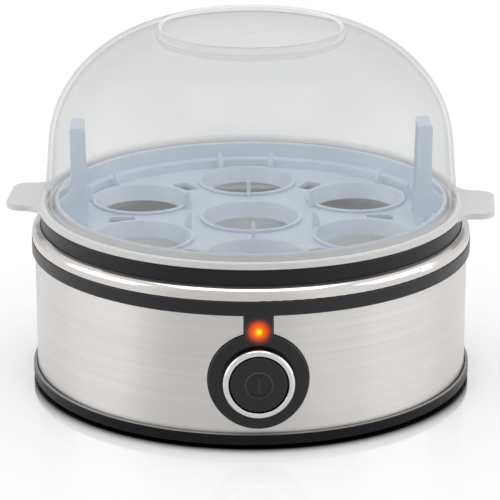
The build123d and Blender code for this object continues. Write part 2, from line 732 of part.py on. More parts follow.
def fuse_clip():
    bore = FUSE_RADIUS + PRESS_GAP
    outer = bore + CLIP_SHEET
    axis_z = SPREADER_Z - bore
    centre = Pos(FUSE_Y, axis_z)
    foot_y = FUSE_Y + outer + CLIP_FOOT / 2 - CLIP_SHEET
    profile = centre * Circle(outer)
    profile += centre * Rectangle(2 * outer, bore, align=(Align.CENTER, Align.MIN))
    profile += Pos(foot_y, SPREADER_Z) * Rectangle(CLIP_FOOT, CLIP_SHEET, align=(Align.CENTER, Align.MAX))
    profile -= centre * Circle(bore)
    profile -= centre * Rectangle(2 * bore, bore + OVERRUN, align=(Align.CENTER, Align.MIN))
    above = Pos(FUSE_Y, SPREADER_Z) * Rectangle(4 * outer, OVERRUN, align=(Align.CENTER, Align.MIN))
    clip = extrude(Plane.YZ * (profile - above), CLIP_WIDTH / 2, both=True)
    x, y = fuse_hole()
    return clip - rod(SMALL_SCREW_RADIUS + PRESS_GAP, SPREADER_Z - OVERRUN, SPREADER_Z + OVERRUN, x, y)


def fuse_screw():
    return small_screw(CLIP_SHEET - FIT_GAP, SPREADER_Z - CLIP_SHEET, *fuse_hole())


# Button, switch and lamp
def button_ring():
    front = BAND_RADIUS + RING_PROUD
    outline = [
        (RING_INNER, SHELF_REACH),
        (RING_RADIUS, SHELF_REACH),
        (RING_RADIUS, front),
        (RING_INNER, front),
    ]
    return turned_outward(outline, PANEL_Z, -1, [0, 0, RING_ROUND, RING_INNER_ROUND])


def button_cap():
    radius = RING_INNER - FIT_GAP
    flange = GUIDE_BORE - FIT_GAP
    face_back = CAP_REACH - CAP_FACE
    socket = PLUNGER_RADIUS + PRESS_GAP
    mark_reach = CAP_REACH + MARK_RISE
    outline = [
        (0, CAP_REACH),
        (MARK_INNER, CAP_REACH),
        (MARK_INNER, mark_reach),
        (MARK_RADIUS, mark_reach),
        (MARK_RADIUS, CAP_REACH),
        (radius, CAP_REACH),
        (radius, SHELF_REACH),
        (flange, SHELF_REACH),
        (flange, SHELF_REACH - CAP_FLANGE),
        (radius - CAP_WALL, SHELF_REACH - CAP_FLANGE),
        (radius - CAP_WALL, face_back),
        (STEM_RADIUS, face_back),
        (STEM_RADIUS, STEM_REACH),
        (socket, STEM_REACH),
        (socket, STEM_REACH + STEM_SOCKET),
        (0, STEM_REACH + STEM_SOCKET),
    ]
    rounds = [0] * len(outline)
    rounds[2] = MARK_ROUND
    rounds[3] = MARK_ROUND
    rounds[5] = CAP_ROUND
    cap = turned_outward(outline, PANEL_Z, -1, rounds)
    bar = Box(MARK_BAR_WIDTH, MARK_RISE, MARK_BAR_HEIGHT)
    return cap + Pos(0, -CAP_REACH - MARK_RISE / 2 + MARK_BAR_SINK, PANEL_Z) * bar


def switch_plunger():
    return level_rod(PLUNGER_RADIUS, SWITCH_REACH - PLUNGER_HOLD, STEM_REACH + STEM_SOCKET, PANEL_Z)


def return_spring():
    rise = SPRING_LENGTH - SPRING_WIRE
    coil = Helix(rise / SPRING_TURNS, rise, SPRING_RADIUS)
    section = Plane(coil @ 0, z_dir=coil % 0) * Circle(SPRING_WIRE / 2)
    wire = sweep(section, path=coil, is_frenet=True)
    return Pos(0, -SWITCH_REACH - SPRING_WIRE / 2, PANEL_Z) * Rot(X=90) * wire


def power_switch():
    bottom = PANEL_Z - SWITCH_HEIGHT / 2
    back = SWITCH_REACH - SWITCH_DEPTH
    middle = -(SWITCH_REACH + back) / 2
    body = block(SWITCH_WIDTH, SWITCH_DEPTH, bottom, bottom + SWITCH_HEIGHT, 0, middle)
    flange_y = -SWITCH_REACH + SWITCH_FLANGE_THICKNESS / 2
    flange_z = bottom - SWITCH_FLANGE
    flange_top = bottom + SWITCH_HEIGHT + SWITCH_FLANGE
    flange_width = SWITCH_WIDTH + 2 * SWITCH_FLANGE
    body += block(flange_width, SWITCH_FLANGE_THICKNESS, flange_z, flange_top, 0, flange_y)
    bore_end = SWITCH_REACH - PLUNGER_HOLD - BUTTON_TRAVEL - FIT_GAP
    body -= level_rod(PLUNGER_RADIUS + FIT_GAP, bore_end, SWITCH_REACH + OVERRUN, PANEL_Z)
    for side in (-1, 1):
        tab_bottom = PANEL_Z - TAB_WIDTH / 2
        tab_y = -back + TAB_LENGTH / 2
        tab_x = side * TAB_PITCH / 2
        body += block(TAB_THICKNESS, TAB_LENGTH, tab_bottom, tab_bottom + TAB_WIDTH, tab_x, tab_y)
    return body


def switch_bracket():
    front_y = -SWITCH_REACH + SWITCH_FLANGE_THICKNESS
    top = PANEL_Z + SWITCH_HEIGHT / 2 + BRACKET_MARGIN
    upright = block(BRACKET_WIDTH, BRACKET_SHEET, BOSS_Z, top, 0, front_y + BRACKET_SHEET / 2)
    foot_y = front_y + BRACKET_FOOT / 2
    foot_plate = block(BRACKET_WIDTH, BRACKET_FOOT, BOSS_Z, BOSS_Z + BRACKET_SHEET, 0, foot_y)
    window_width = SWITCH_WIDTH + 2 * PRESS_GAP
    window_z = PANEL_Z - SWITCH_HEIGHT / 2 - PRESS_GAP
    window_top = PANEL_Z + SWITCH_HEIGHT / 2 + PRESS_GAP
    bracket = upright + foot_plate - block(window_width, OVERRUN, window_z, window_top, 0, front_y)
    for x, y in bracket_holes():
        bracket -= rod(SMALL_SCREW_RADIUS + PRESS_GAP, BOSS_Z - OVERRUN, BOSS_Z + OVERRUN, x, y)
    return bracket


def bracket_screws():
    head_z = BOSS_Z + BRACKET_SHEET
    length = BRACKET_SHEET - FIT_GAP
    return Compound([small_screw(length, head_z, x, y, up=False) for x, y in bracket_holes()])


def indicator_lens():
    lens = lens_prism(0, SHELL_INNER, BAND_RADIUS + LENS_PROUD)
    front = lens.faces().sort_by(Axis.Y)[0]
    return fillet(front.edges(), LENS_ROUND)


def indicator_lamp():
    front = SHELL_INNER - PRESS_GAP
    back = front - LAMP_LENGTH
    lamp = level_rod(LAMP_RADIUS, back, front, LENS_Z)
    for side in (-1, 1):
        x = side * LAMP_LEAD_PITCH / 2
        lamp += level_rod(LAMP_LEAD_RADIUS, back - LAMP_LEAD_LENGTH, back, LENS_Z, x)
    return lamp


# Tone board, terminals and gland
def control_board():
    board = block(BOARD_WIDTH, BOARD_LENGTH, BOARD_Z, BOARD_TOP_Z, BOARD_X)
    for x, y in board_holes():
        board -= rod(SMALL_SCREW_RADIUS + PRESS_GAP, BOARD_Z - OVERRUN, BOARD_TOP_Z + OVERRUN, x, y)
    return board


def board_screws():
    length = BOARD_THICKNESS - FIT_GAP
    return Compound([small_screw(length, BOARD_TOP_Z, x, y, up=False) for x, y in board_holes()])


def buzzer():
    place = (BOARD_X, -BOARD_LENGTH * BOARD_PLACE_SHARE)
    top = BOARD_TOP_Z + BUZZER_HEIGHT
    can = rod(BUZZER_RADIUS, BOARD_TOP_Z, top, *place)
    return can - rod(BUZZER_HOLE_RADIUS, top - BUZZER_HOLE_DEPTH, top + OVERRUN, *place)


def drop_capacitor():
    top = BOARD_TOP_Z + CAPACITOR_HEIGHT
    y = BOARD_LENGTH * BOARD_PLACE_SHARE
    return block(CAPACITOR_LENGTH, CAPACITOR_WIDTH, BOARD_TOP_Z, top, BOARD_X, y)


def way_places():
    return [way * BLOCK_WAY_PITCH for way in (-1, 0, 1)]


def well_places():
    rows = (BLOCK_Y - BLOCK_WELL_PITCH / 2, BLOCK_Y + BLOCK_WELL_PITCH / 2)
    return [(x, y) for x in way_places() for y in rows]


def terminal_block():
    top = FLOOR_Z + BLOCK_HEIGHT
    middle = FLOOR_Z + BLOCK_HEIGHT / 2
    body = block(BLOCK_WIDTH, BLOCK_DEPTH, FLOOR_Z, top, 0, BLOCK_Y)
    for x in way_places():
        ends = (-BLOCK_Y - BLOCK_DEPTH, -BLOCK_Y + BLOCK_DEPTH)
        body -= level_rod(BLOCK_WAY_RADIUS, *ends, middle, x)
    for x, y in well_places():
        body -= rod(BLOCK_WELL_RADIUS, top - BLOCK_WELL_DEPTH, top + OVERRUN, x, y)
    for x, y in block_holes():
        body -= rod(SMALL_SCREW_RADIUS + PRESS_GAP, FLOOR_Z - OVERRUN, top + OVERRUN, x, y)
    return body


def terminal_screws():
    floor = FLOOR_Z + BLOCK_HEIGHT - BLOCK_WELL_DEPTH
    radius = BLOCK_WELL_RADIUS - PRESS_GAP
    return Compound([rod(radius, floor, floor + BLOCK_WELL_DEPTH / 2, x, y) for x, y in well_places()])


def block_screws():
    top = FLOOR_Z + BLOCK_HEIGHT
    length = BLOCK_SCREW_LENGTH - FIT_GAP
    size = (SMALL_HEAD_RADIUS, SMALL_HEAD_HEIGHT, SMALL_SCREW_RADIUS, length)
    return Compound([screw(*size, top, x, y, up=False) for x, y in block_holes()])


def cord_gland():
    inside = math.sqrt(SHELL_INNER**2 - GLAND_FLANGE_RADIUS**2)
    nose = SHELL_RADIUS + GLAND_PROUD
    outline = [
        (GLAND_BORE, inside - GLAND_TAIL),
        (GLAND_FLANGE_RADIUS, inside - GLAND_TAIL),
        (GLAND_FLANGE_RADIUS, inside),
        (GLAND_NECK_RADIUS, inside),
        (GLAND_NECK_RADIUS, SHELL_RADIUS),
        (GLAND_FLANGE_RADIUS, SHELL_RADIUS),
        (GLAND_FLANGE_RADIUS, SHELL_RADIUS + GLAND_FLANGE),
        (GLAND_NOSE_RADIUS, nose),
        (GLAND_BORE, nose),
    ]
    return turned_outward(outline, GLAND_Z, 1)


# Inner wiring: each route is a list of points chosen by hand between two terminals
def lead(points):
    """A wire along straight runs joined by arcs as large as the runs allow."""
    stops = [Vector(*point) for point in points]
    runs = [after - before for before, after in zip(stops, stops[1:])]
    radii = []
    for before, after in zip(runs, runs[1:]):
        half_turn = math.radians(before.get_angle(after)) / 2
        radii.append(WIRE_ARC_SHARE * min(before.length, after.length) / math.tan(half_turn))
    path = FilletPolyline(*stops, radius=radii)
    section = Plane(stops[0], z_dir=runs[0]) * Circle(WIRE_RADIUS)
    return sweep(section, path=path)


def wires():
    way_y = BLOCK_Y - BLOCK_DEPTH / 2
    way_z = FLOOR_Z + BLOCK_HEIGHT / 2
    way_left, way_middle, way_right = way_places()
    switch_y = -SWITCH_REACH + SWITCH_DEPTH + TAB_LENGTH
    tab_x = TAB_PITCH / 2
    tab_z = SPREADER_Z - FLANGE_THICKNESS - THERMOSTAT_HEIGHT - TAB_LENGTH
    fuse_x = FUSE_LENGTH / 2 + FUSE_LEAD_LENGTH
    fuse_z = SPREADER_Z - FUSE_RADIUS - PRESS_GAP
    pin_left, pin_right = pin_places()
    routes = {
        "live_wire": [
            (way_right, way_y, way_z),
            (way_right, 29, way_z),
            (13, 14, 13),
            (14, -4, 18),
            (tab_x, -23, PANEL_Z),
            (tab_x, switch_y, PANEL_Z),
        ],
        "switch_wire": [
            (-tab_x, switch_y, PANEL_Z),
            (-tab_x, -24, PANEL_Z),
            (-12, -12, 22),
            (-13, 4, 19),
            (-7, 14, 20),
            (-tab_x, THERMOSTAT_Y, 23),
            (-tab_x, THERMOSTAT_Y, tab_z),
        ],
        "fuse_wire": [
            (tab_x, THERMOSTAT_Y, tab_z),
            (tab_x, THERMOSTAT_Y, 23),
            (12, 14, 21),
            (21, 2, 24),
            (27, -10, 32),
            (25, FUSE_Y, fuse_z),
            (fuse_x, FUSE_Y, fuse_z),
        ],
        "element_wire": [
            (-fuse_x, FUSE_Y, fuse_z),
            (-24, FUSE_Y, fuse_z),
            (-29, -11, 34),
            (-30, 3, 27),
            (-29, 17, 22),
            (-26, 29, 20),
            (pin_left[0], pin_left[1], 22),
            (pin_left[0], pin_left[1], PIN_Z),
        ],
        "neutral_wire": [
            (way_left, way_y, way_z),
            (way_left, 33, way_z),
            (-4, 26, 13),
            (6, 24, 16),
            (16, 29, 18),
            (pin_right[0], pin_right[1], 22),
            (pin_right[0], pin_right[1], PIN_Z),
        ],
        "earth_wire": [
            (way_middle, way_y, way_z),
            (way_middle, 29, way_z),
            (-1, 16, 11),
            (0, 5, 15),
            (0, 0, 22),
            (0, 0, STUD_Z),
        ],
    }
    return {name: lead(points) for name, points in routes.items()}


# Egg tray
def seat_angles():
    return [-90 + index * 360 / SEAT_COUNT for index in range(SEAT_COUNT)]


def seat_places():
    return [(0, 0), *(around(SEAT_RING_RADIUS, angle) for angle in seat_angles())]


def seat_cone(grow, spare):
    """The funnel of one seat, widened by its wall and lengthened past both ends."""
    bottom = DECK_UNDER_Z - SEAT_DROP
    top = DECK_Z + SEAT_LIP
    slope = (SEAT_TOP_RADIUS - SEAT_FOOT_RADIUS) / (top - bottom)
    narrow = SEAT_FOOT_RADIUS + grow - slope * spare
    wide = SEAT_TOP_RADIUS + grow + slope * spare
    return Pos(0, 0, bottom - spare) * Cone(narrow, wide, top - bottom + 2 * spare, align=UPRIGHT)


def seat_fins(angle):
    """The three upright fins round the mouth of a seat that lies at an angle from the axis."""
    fin = block(FIN_WIDTH, FIN_THICKNESS, DECK_UNDER_Z, DECK_Z + FIN_RISE, FIN_INNER + FIN_WIDTH / 2)
    turns = (angle - FIN_ANGLE, angle + FIN_ANGLE, angle + 180)
    return [Rot(Z=turn) * fin for turn in turns]


def grip_post():
    """One lifting post at +X: a channel with two gussets that run out to the tray's rim."""
    top = DECK_Z + GRIP_RISE
    step_top = PLATE_Z + TRAY_WALL
    rim_top = PLATE_Z + TRAY_RIM_RISE
    rim_middle = TRAY_RIM_RADIUS - TRAY_WALL / 2
    outline = [
        (GRIP_INNER_FOOT, DECK_UNDER_Z),
        (GRIP_INNER_TOP, top),
        (GRIP_OUTER, top),
        (GRIP_OUTER, DECK_Z + GUSSET_RISE),
        (rim_middle, rim_top - TRAY_ROUND),
        (rim_middle, PLATE_Z),
        (TRAY_INNER, PLATE_Z),
        (TRAY_INNER, DECK_UNDER_Z),
    ]
    rounds = [0, GRIP_ROUND, GRIP_ROUND, GUSSET_ROUND, 0, 0, 0, 0]
    face = make_face(FilletPolyline(*outline, radius=rounds, close=True))
    post = extrude(Plane.XZ * face, GRIP_WIDTH / 2, both=True)
    hollow = GRIP_WIDTH - 2 * GRIP_WALL
    web = GRIP_OUTER - GRIP_WALL
    channel = block(web - GRIP_INNER_FOOT + OVERRUN, hollow, DECK_Z, top - GRIP_CAP)
    post -= Pos((web + GRIP_INNER_FOOT - OVERRUN) / 2, 0, 0) * channel
    between = block(rim_middle - GRIP_OUTER, hollow, step_top, top)
    return post - Pos((rim_middle + GRIP_OUTER) / 2, 0, 0) * between


def egg_tray():
    rim_inner = TRAY_RIM_RADIUS - TRAY_WALL
    rim_top = PLATE_Z + TRAY_RIM_RISE
    step_top = PLATE_Z + TRAY_WALL
    outline = [
        (0, DECK_UNDER_Z),
        (TRAY_OUTER, DECK_UNDER_Z),
        (TRAY_OUTER, PLATE_Z),
        (TRAY_RIM_RADIUS, PLATE_Z),
        (TRAY_RIM_RADIUS, rim_top),
        (rim_inner, rim_top),
        (rim_inner, step_top),
        (TRAY_INNER, step_top),
        (TRAY_INNER, DECK_Z),
        (0, DECK_Z),
    ]
    rounds = [0, TRAY_ROUND, 0, 0, TRAY_ROUND, TRAY_ROUND, 0, 0, TRAY_ROUND, 0]
    tray = turned(outline, rounds)
    tray += grip_post()
    tray += Rot(Z=180) * grip_post()
    for angle in seat_angles():
        tray += [Pos(*around(SEAT_RING_RADIUS, angle)) * fin for fin in seat_fins(angle)]
    for x, y in seat_places():
        tray -= Pos(x, y, 0) * seat_cone(SEAT_WALL, 0)
        tray -= Pos(x, y, 0) * seat_cone(0, OVERRUN)
    for angle in seat_angles():
        slot = RectangleRounded(STEAM_LENGTH, STEAM_WIDTH, STEAM_ROUND)
        cutter = Pos(STEAM_RING_RADIUS, 0, DECK_UNDER_Z - OVERRUN) * extrude(slot, TRAY_WALL + 2 * OVERRUN)
        tray -= Rot(Z=angle + 180 / SEAT_COUNT) * cutter
    return tray


def tray_seats():
    """The seven seat funnels, each set in a hole of the tray's deck."""
    funnel = seat_cone(SEAT_WALL, 0) - seat_cone(0, OVERRUN)
    return Compound([Pos(x, y, 0) * funnel for x, y in seat_places()])


# Lid
def dome_points(inset):
    """Foot, side, shoulder and crown of the dome's outline, moved in by a wall, with its two arcs."""
    foot_z = COLLAR_TOP_Z + LID_FLANGE
    base = Vector(LID_FOOT_RADIUS, 0, foot_z)
    side = Vector(LID_SIDE_RADIUS, 0, COLLAR_TOP_Z + LID_SIDE_RISE)
    shoulder = Vector(LID_SHOULDER_RADIUS, 0, COLLAR_TOP_Z + LID_SHOULDER_RISE)
    crown = Vector(LID_CROWN_RADIUS, 0, COLLAR_TOP_Z + LID_CROWN_RISE)
    lower = TangentArc(side, shoulder, tangent=side - base)
    upper = TangentArc(shoulder, crown, tangent=lower % 1)
    ways = [side - base, side - base, lower % 1, upper % 1]
    inward = [Vector(-way.Z, 0, way.X).normalized() * inset for way in ways]
    return [point + move for point, move in zip((base, side, shoulder, crown), inward)], ways


def dome_curve(inset):
    (base, side, shoulder, crown), ways = dome_points(inset)
    lower = TangentArc(side, shoulder, tangent=ways[1])
    upper = TangentArc(shoulder, crown, tangent=ways[2])
    return base, crown, [Line(base, side), lower, upper]


def lid_dome():
    outer_base, outer_crown, outer = dome_curve(0)
    inner_base, inner_crown, inner = dome_curve(LID_WALL)
    top_z = COLLAR_TOP_Z + LID_TOP_RISE
    dish_z = top_z - LID_DISH_DEPTH
    under_z = dish_z - LID_WALL
    dish_wall = LID_DISH_RADIUS + LID_WALL
    bead = ThreePointArc(
        outer_crown,
        ((outer_crown.X + LID_DISH_RADIUS + LID_DISH_ROUND) / 2, 0, top_z),
        (LID_DISH_RADIUS, 0, top_z - LID_DISH_ROUND),
    )
    dish = Polyline(
        (LID_DISH_RADIUS, 0, top_z - LID_DISH_ROUND),
        (LID_DISH_RADIUS, 0, dish_z),
        (0, 0, dish_z),
        (0, 0, under_z),
        (dish_wall, 0, under_z),
        inner_crown,
    )
    foot_z = COLLAR_TOP_Z
    rim = Polyline(
        inner_base,
        (inner_base.X, 0, foot_z),
        (outer_base.X, 0, foot_z),
        outer_base,
    )
    face = make_face([*outer, bead, dish, *inner, rim])
    return revolve(face, Axis.Z)


def lid_flange():
    """The rim flange and both ears, in one plate with rounded roots."""
    ears = RectangleRounded(2 * EAR_RADIUS, EAR_WIDTH, EAR_CORNER)
    plan = Circle(LID_FLANGE_RADIUS) + ears
    roots = [v for v in plan.vertices() if abs(v.Y) < EAR_WIDTH and abs(v.X) < LID_FLANGE_RADIUS]
    plan = fillet(roots, EAR_ROOT)
    plate = extrude(plan, LID_FLANGE)
    plate = fillet(plate.edges().group_by(Axis.Z)[0], LID_FLANGE_ROUND)
    return Pos(0, 0, COLLAR_TOP_Z) * plate


def lid():
    dome = lid_dome()
    wall = LID_FOOT_RADIUS - LID_WALL / 2
    flange = lid_flange() - rod(wall, COLLAR_TOP_Z - OVERRUN, COLLAR_TOP_Z + LID_FLANGE + OVERRUN)
    lip = turned(
        [
            (LIP_INNER, COLLAR_TOP_Z - LID_LIP_DROP),
            (LIP_RADIUS, COLLAR_TOP_Z - LID_LIP_DROP),
            (LIP_RADIUS, COLLAR_TOP_Z + LID_FLANGE),
            (LIP_INNER, COLLAR_TOP_Z + LID_FLANGE),
        ]
    )
    dish_z = COLLAR_TOP_Z + LID_TOP_RISE - LID_DISH_DEPTH
    gate = rod(LID_GATE_RADIUS, dish_z - LID_WALL / 2, dish_z + LID_GATE_RISE)
    return Rot(Z=LID_TURN) * (dome + flange + lip + gate)


def nodes():
    pieces = {f"foot_{name}": foot(angle) for name, angle in CORNERS.items()}
    for make in (
        base_pan,
        base_screws,
        body_shell,
        control_panel,
        rim_ring,
        upper_frame,
        plate_gasket,
        heating_plate,
        heat_spreader,
        heating_element,
        plate_stud,
        clamp_bar,
        clamp_nut,
        thermostat,
        thermostat_screws,
        thermal_fuse,
        fuse_clip,
        fuse_screw,
        button_ring,
        button_cap,
        switch_plunger,
        return_spring,
        power_switch,
        switch_bracket,
        bracket_screws,
        indicator_lens,
        indicator_lamp,
        control_board,
        board_screws,
        buzzer,
        drop_capacitor,
        terminal_block,
        terminal_screws,
        block_screws,
        cord_gland,
        egg_tray,
        tray_seats,
        lid,
    ):
        pieces[make.__name__] = make()
    pieces.update(wires())
    return pieces


os.makedirs("parts", exist_ok=True)
for node, shape in nodes().items():
    export_step(shape, f"parts/{node}.step")
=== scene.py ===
import math

import bmesh
import bpy
from bpy.props import FloatProperty, FloatVectorProperty, PointerProperty
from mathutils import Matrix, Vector


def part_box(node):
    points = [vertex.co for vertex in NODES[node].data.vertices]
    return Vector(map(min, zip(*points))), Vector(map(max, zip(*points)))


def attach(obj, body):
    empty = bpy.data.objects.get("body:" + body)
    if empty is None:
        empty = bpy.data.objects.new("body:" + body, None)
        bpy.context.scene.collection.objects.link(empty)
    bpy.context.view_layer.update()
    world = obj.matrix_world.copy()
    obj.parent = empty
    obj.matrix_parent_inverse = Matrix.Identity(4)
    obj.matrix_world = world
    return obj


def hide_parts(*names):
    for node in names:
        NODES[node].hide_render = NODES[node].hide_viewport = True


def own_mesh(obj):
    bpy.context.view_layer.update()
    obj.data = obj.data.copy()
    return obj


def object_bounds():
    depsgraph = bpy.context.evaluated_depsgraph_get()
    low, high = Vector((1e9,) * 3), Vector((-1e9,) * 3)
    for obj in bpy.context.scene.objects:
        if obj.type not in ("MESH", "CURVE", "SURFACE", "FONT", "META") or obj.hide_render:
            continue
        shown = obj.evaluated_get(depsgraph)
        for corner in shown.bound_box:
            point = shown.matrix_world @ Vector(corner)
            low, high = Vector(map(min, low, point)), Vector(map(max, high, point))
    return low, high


bl_info = {
    "name": "Egg cooker looks",
    "version": (1, 0, 0),
    "blender": (4, 5, 0),
    "location": "3D View > Sidebar > Egg cooker",
    "description": "Finishes, small details and a studio for the egg cooker",
    "category": "Object",
}

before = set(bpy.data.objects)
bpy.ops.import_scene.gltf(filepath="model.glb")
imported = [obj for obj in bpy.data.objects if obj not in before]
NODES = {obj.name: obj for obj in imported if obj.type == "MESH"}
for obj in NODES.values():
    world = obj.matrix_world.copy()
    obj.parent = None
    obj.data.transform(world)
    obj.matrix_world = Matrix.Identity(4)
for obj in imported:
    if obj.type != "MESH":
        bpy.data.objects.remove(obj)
CAD_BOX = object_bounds()
SAME_POINT = 1e-6

# Axes that a distance counts, and ways in which a share runs
ALL_AXES = (1.0, 1.0, 1.0)
ROUND_AXES = (1.0, 1.0, 0.0)
FRONT_AXES = (1.0, 0.0, 1.0)
FADE_IN = (0.0, 1.0)
FADE_OUT = (1.0, 0.0)
COMMON_NOISE = (0.3, 0.7)
WHITE = (1.0, 1.0, 1.0, 1.0)

# Lid: zones in metres, and how dense each zone is
FLANGE_STEP = 0.0023
FLANGE_BLUR = (-0.0001, 0.0005)
FLANGE_LIP = (0.0012, 0.0005)
FOOT_RISE = 0.006
# Depth of the lid's crown, where shade is painted into the dome's colour
CROWN_DEPTH = (0.034, 0.006)
# The bead's width and depth bound a painted highlight round the lid's dish
BEAD_WIDTH = (0.0004, 0.0010)
BEAD_DEPTH = (0.0022, 0.0012)
DISH_BLUR = 0.002
WALL_FACING, WALL_DENSITY = (0.40, 0.80), (0.17, 0.25)
OUTLINE_FACING, OUTLINE_DENSITY = (0.76, 0.97), (0.0, 0.50)
DISH_DENSITY = (0.5, 1.0)
FOOT_DENSITY = 0.58
# Denser plastic on the bead, so that its painted highlight stands out
BEAD_DENSITY = 0.7
FLANGE_DENSITY = 0.93
LID_IOR = 1.49

# Base, button and lens: zones in metres, and steps of the lens's glow
LEDGE_STEP = 0.001
LEDGE_BLUR = (0.0003, 0.0001)
# Painted highlight on the button's mark: where it lies on the ring and bar, and how many times
# paler than the button
MARK_RING = (0.0001, 0.0004)
MARK_BAR_WIDTH, MARK_BAR_HIGHLIGHT = (0.0004, 0.0006), (0.45, 0.0)
MARK_BAR_END = (0.0029, 0.0032)
MARK_HIGHLIGHT_GAIN = 5
LENS_STEPS = (0.06, 0.17, 0.28, 0.48)
LENS_FADE = ((0.60, 0.52), (0.72, 0.16), (0.84, 0.03), (1.0, 0.0))
LENS_UNLIT = 0.2

# Studio: zones that metal sees dimmer, the floor's steps away from the base, and the side lamps
FRONT_ZONE = (0.76, 0.94)
BACK_ZONE = (0.55, 0.85)
FLOOR_NEAR = 0.08
FLOOR_SEEN = (0.0, 0.1)
FLOOR_LIT = ((0.0, 0.0), (0.02, 0.5), (0.06, 0.62), (0.2, 0.72), (0.45, 0.9), (1.0, 1.0))
FLOOR_IMAGE = (
    (0.003, 1.0), (0.014, 0.85), (0.042, 0.45), (0.07, 0.2), (0.12, 0.1), (0.3, 0.05), (1.0, 0.0),
)
FLOOR_GLOSS = 0.05
FLOOR_CELLS = 8
SIDE_LAMP = {"elevation": 18, "distance": 1.3, "width": 1.1, "depth": 1.0}
CAMERA_FRAME_MM = 36.0
CAMERA_NEAR, CAMERA_FAR = 0.05, 50.0

# Plastics of the inside: material, colour, roughness and nodes
INSIDE_PLASTICS = (
    ("switch_housing", (0.03, 0.03, 0.034), 0.45, ("power_switch", "thermostat", "buzzer")),
    ("white_nylon", (0.66, 0.66, 0.63), 0.42, ("switch_plunger", "thermal_fuse")),
    ("lamp_body", (0.75, 0.45, 0.16), 0.2, ("indicator_lamp",)),
    ("board_lacquer", (0.03, 0.13, 0.05), 0.3, ("control_board",)),
    ("capacitor_case", (0.55, 0.40, 0.05), 0.3, ("drop_capacitor",)),
    ("cream_nylon", (0.62, 0.58, 0.48), 0.45, ("terminal_block",)),
    ("brown_insulation", (0.09, 0.032, 0.014), 0.4, ("live_wire",)),
    ("blue_insulation", (0.02, 0.06, 0.30), 0.4, ("neutral_wire",)),
    ("green_insulation", (0.14, 0.30, 0.03), 0.4, ("earth_wire",)),
)
ZINC_NODES = (
    "plate_stud", "clamp_bar", "clamp_nut", "thermostat_screws", "fuse_clip", "fuse_screw",
    "switch_bracket", "bracket_screws", "board_screws", "terminal_screws", "block_screws",
    "base_screws",
)


# Sizes and colours that a user would change
def length_setting(name, description, default):
    return FloatProperty(
        name=name, description=description, default=default, unit="LENGTH", precision=4
    )


def angle_setting(name, description, degrees):
    return FloatProperty(
        name=name, description=description, default=math.radians(degrees), subtype="ANGLE"
    )


def power_setting(name, description, default):
    return FloatProperty(name=name, description=description, default=default, unit="POWER")


def share_setting(name, description, default):
    return FloatProperty(
        name=name, description=description, default=default, subtype="FACTOR", min=0.0, max=1.0
    )


def colour_setting(name, description, default):
    return FloatVectorProperty(
        name=name, description=description, default=default, subtype="COLOR", size=3,
        min=0.0, max=1.0,
    )


class StudioSettings(bpy.types.PropertyGroup):
    """Where the camera stands, and how bright the studio is."""

    camera_reach: length_setting(
        "Camera reach", "Distance from the cooker's axis to the camera, along the table", 0.974
    )
    camera_height: length_setting("Camera height", "Height of the camera above the table", 0.364)
    camera_side: angle_setting("Camera side", "Angle of the camera to the left of the button", 1.9)
    camera_drop: angle_setting("Camera drop", "Angle that the camera looks down", 18.01)
    camera_aim: angle_setting(
        "Camera aim", "Angle that the camera is turned to the left of the axis", 0.021
    )
    lens_mm: FloatProperty(
        name="Lens", description="Focal length on a 36 mm frame", default=194.4, unit="CAMERA"
    )
    sky: share_setting("Sky", "Strength of the even light from all round", 0.42)
    side_power: power_setting("Side lamps", "Power of each side lamp", 4.2)
    top_power: power_setting("Top lamp", "Power of the top lamp", 10.0)
    dim_side: angle_setting(
        "Dim side", "Angle of the studio's dimmer side to the left of the button", 12.0
    )
    dim_share: share_setting("Dim share", "How white metal sees that side", 0.79)
    back_share: share_setting("Back share", "How white metal sees the back", 0.78)
    floor_reach: length_setting("Floor reach", "Half the width of the floor", 6.0)


